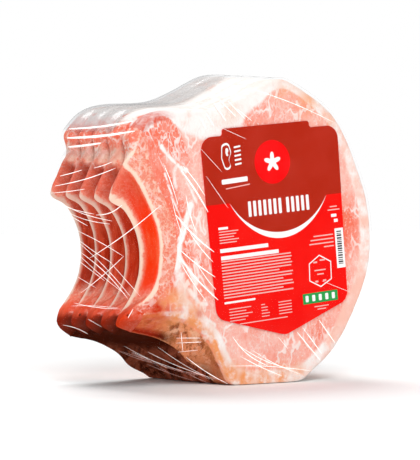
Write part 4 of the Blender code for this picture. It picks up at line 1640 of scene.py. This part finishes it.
def creaseTree(material):
    # Geometry Nodes: a flat tapered strand along each crease, lying on the film
    tree = bpy.data.node_groups.new("creaseStrands", "GeometryNodeTree")
    for name, kind in (("Geometry", "Geometry"), ("Sides", "Int"), ("Flatness", "Float")):
        tree.interface.new_socket(name, in_out="INPUT", socket_type=f"NodeSocket{kind}")
    tree.interface.new_socket("Geometry", in_out="OUTPUT", socket_type="NodeSocketGeometry")
    given = addNode(tree, "NodeGroupInput").outputs
    end = addNode(tree, "NodeGroupOutput")
    curve = addNode(tree, "GeometryNodeMeshToCurve", {"Mesh": given["Geometry"]})
    width = addNode(tree, "GeometryNodeInputNamedAttribute", {"Name": "creaseWidth"}, data_type="FLOAT")
    up = addNode(tree, "GeometryNodeInputNamedAttribute", {"Name": "filmNormal"}, data_type="FLOAT_VECTOR")
    laid = addNode(tree, "GeometryNodeSetCurveNormal", {"Curve": curve.outputs[0], "Normal": up.outputs[0]},
                   mode="FREE")
    circle = addNode(tree, "GeometryNodeCurvePrimitiveCircle", {"Resolution": given["Sides"], "Radius": 1.0})
    squeeze = addNode(tree, "ShaderNodeCombineXYZ", {"X": given["Flatness"], "Y": 1.0, "Z": 1.0})
    shape = {"Geometry": circle.outputs[0], "Scale": squeeze.outputs[0]}
    oval = addNode(tree, "GeometryNodeTransform", shape)
    sweep = {"Curve": laid.outputs[0], "Profile Curve": oval.outputs[0], "Scale": width.outputs[0]}
    strand = addNode(tree, "GeometryNodeCurveToMesh", sweep | {"Fill Caps": True})
    real = addNode(tree, "GeometryNodeRealizeInstances", {"Geometry": strand.outputs[0]})
    painted = addNode(tree, "GeometryNodeSetMaterial", {"Geometry": real.outputs[0], "Material": material})
    tree.links.new(painted.outputs[0], end.inputs[0])
    return tree


def makeCreaseMaterial():
    material, tree, shader = startMaterial("creaseHighlight")
    # white glowing strands: painted highlights on the film's creases
    cover = field(tree, "cover")
    whole = ramp(tree, cover, 0.56, 0.7)                 # only the streaks below are fainter than this
    tint = mixColour(tree, whole, creasePlan["pinkTint"], creasePlan["tint"])
    finish(tree, shader, tint, creasePlan["rough"], creasePlan["gloss"])
    streak = patches(tree, objectPlace(tree), (240, 3), (0.3, 0.6, 0.5, 0.95))
    setInputs(tree, shader, {"Emission Color": tint, "Emission Strength": creasePlan["highlightGlow"],
                             "Alpha": times(tree, streak, cover)})
    return material


def creaseLines(paths):
    # a mesh of bare edges with the width, normal and cover of each point
    verts, edges, widths, normals, covers = [], [], [], [], []
    least, power = creasePlan["thin"]
    for path, width, cover in paths:
        if len(path) < creasePlan["fewest"]:
            continue
        edges += [(len(verts) + k, len(verts) + k + 1) for k in range(len(path) - 1)]
        for k, (point, normal) in enumerate(path):
            swell = math.sin((k + 0.3) / (len(path) - 0.4) * math.pi)**power
            widths.append(width * creasePlan["wide"] * mm * max(least, swell))
            verts.append(point)
            normals += normal[:]
            covers.append(cover)
    mesh = bpy.data.meshes.new("creasePaths")
    mesh.from_pydata(verts, edges, [])
    attributes = (
        ("creaseWidth", "FLOAT", "value", widths),
        ("cover", "FLOAT", "value", covers),
        ("filmNormal", "FLOAT_VECTOR", "vector", normals),
    )
    for name, kind, slot, values in attributes:
        mesh.attributes.new(name, kind, "POINT").data.foreach_set(slot, np.array(values, np.float32))
    return newObject("creasePaths", mesh)


def makeCreases():
    draw = random.Random(creasePlan["seed"])
    paths = [(creasePath(start, end, bow), width, 1.0) for start, end, bow, width in creasePlan["photoLines"]]
    lines = creaseLines(paths + underCreases(draw) + backCreases(draw))
    modifier = lines.modifiers.new("strands", "NODES")
    modifier.node_group = creaseTree(makeCreaseMaterial())
    values = {"Sides": creasePlan["sides"], "Flatness": creasePlan["flatness"]}
    for item in modifier.node_group.interface.items_tree:
        if item.in_out == "INPUT" and item.name in values:
            modifier[item.identifier] = values[item.name]
    made = bpy.data.meshes.new_from_object(lines.evaluated_get(bpy.context.evaluated_depsgraph_get()))
    bpy.data.objects.remove(lines, do_unlink=True)
    made.name = "filmCreases"
    faceOutwards(made)
    return newObject("filmCreases", made)


creases = makeCreases()
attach(creases, "root")
print("creases ready", len(creases.data.polygons))

# Floor, light and background

studio = {
    "ambient": 0.22,
    "floor": (0.97, 0.985, 0.985),
    "lights": (              # name, degrees to the right and up, strength, softness in degrees
        ("key", -22.0, 48.0, 1.42, 30.0),
        ("rear", 170.0, 62.0, 1.75, 35.0),
        ("side", -75.0, 30.0, 0.35, 20.0),
        ("front", -20.0, 12.0, 0.55, 30.0),
    ),
    "reach": 4.0,            # half the floor's width, in metres
    "rough": 0.8,
    "gloss": 0.1,
}


def makeStudio():
    scene.view_settings.view_transform = "Standard"
    world = bpy.data.worlds.new("studio")
    scene.world = world
    world.use_nodes = True
    tree = world.node_tree
    tree.nodes.clear()
    seen = addNode(tree, "ShaderNodeBackground", {"Color": colour((1, 1, 1)), "Strength": 1.0})
    lit = addNode(tree, "ShaderNodeBackground", {"Color": colour((1, 1, 1)), "Strength": studio["ambient"]})
    ray = addNode(tree, "ShaderNodeLightPath").outputs["Is Camera Ray"]
    both = addNode(tree, "ShaderNodeMixShader", {0: ray, 1: lit.outputs[0], 2: seen.outputs[0]}).outputs[0]
    addNode(tree, "ShaderNodeOutputWorld", {0: both})
    for name, right, up, strength, softness in studio["lights"]:
        lamp = bpy.data.lights.new(name, "SUN")
        lamp.energy = strength
        lamp.angle = math.radians(softness)
        light = newObject(name, lamp)
        light.location = direction(right, up)
        light.rotation_euler = (-light.location).to_track_quat("-Z", "Y").to_euler()
    mesh = bpy.data.meshes.new("floor")
    reach = studio["reach"]
    corners = [(-reach, -reach, 0), (reach, -reach, 0), (reach, reach, 0), (-reach, reach, 0)]
    mesh.from_pydata(corners, [], [(0, 1, 2, 3)])
    floor = newObject("floor", mesh)
    material, tree, shader = startMaterial("paleFloor")
    finish(tree, shader, colour(studio["floor"]), studio["rough"], studio["gloss"])
    mesh.materials.append(material)


makeStudio()
print("studio ready")
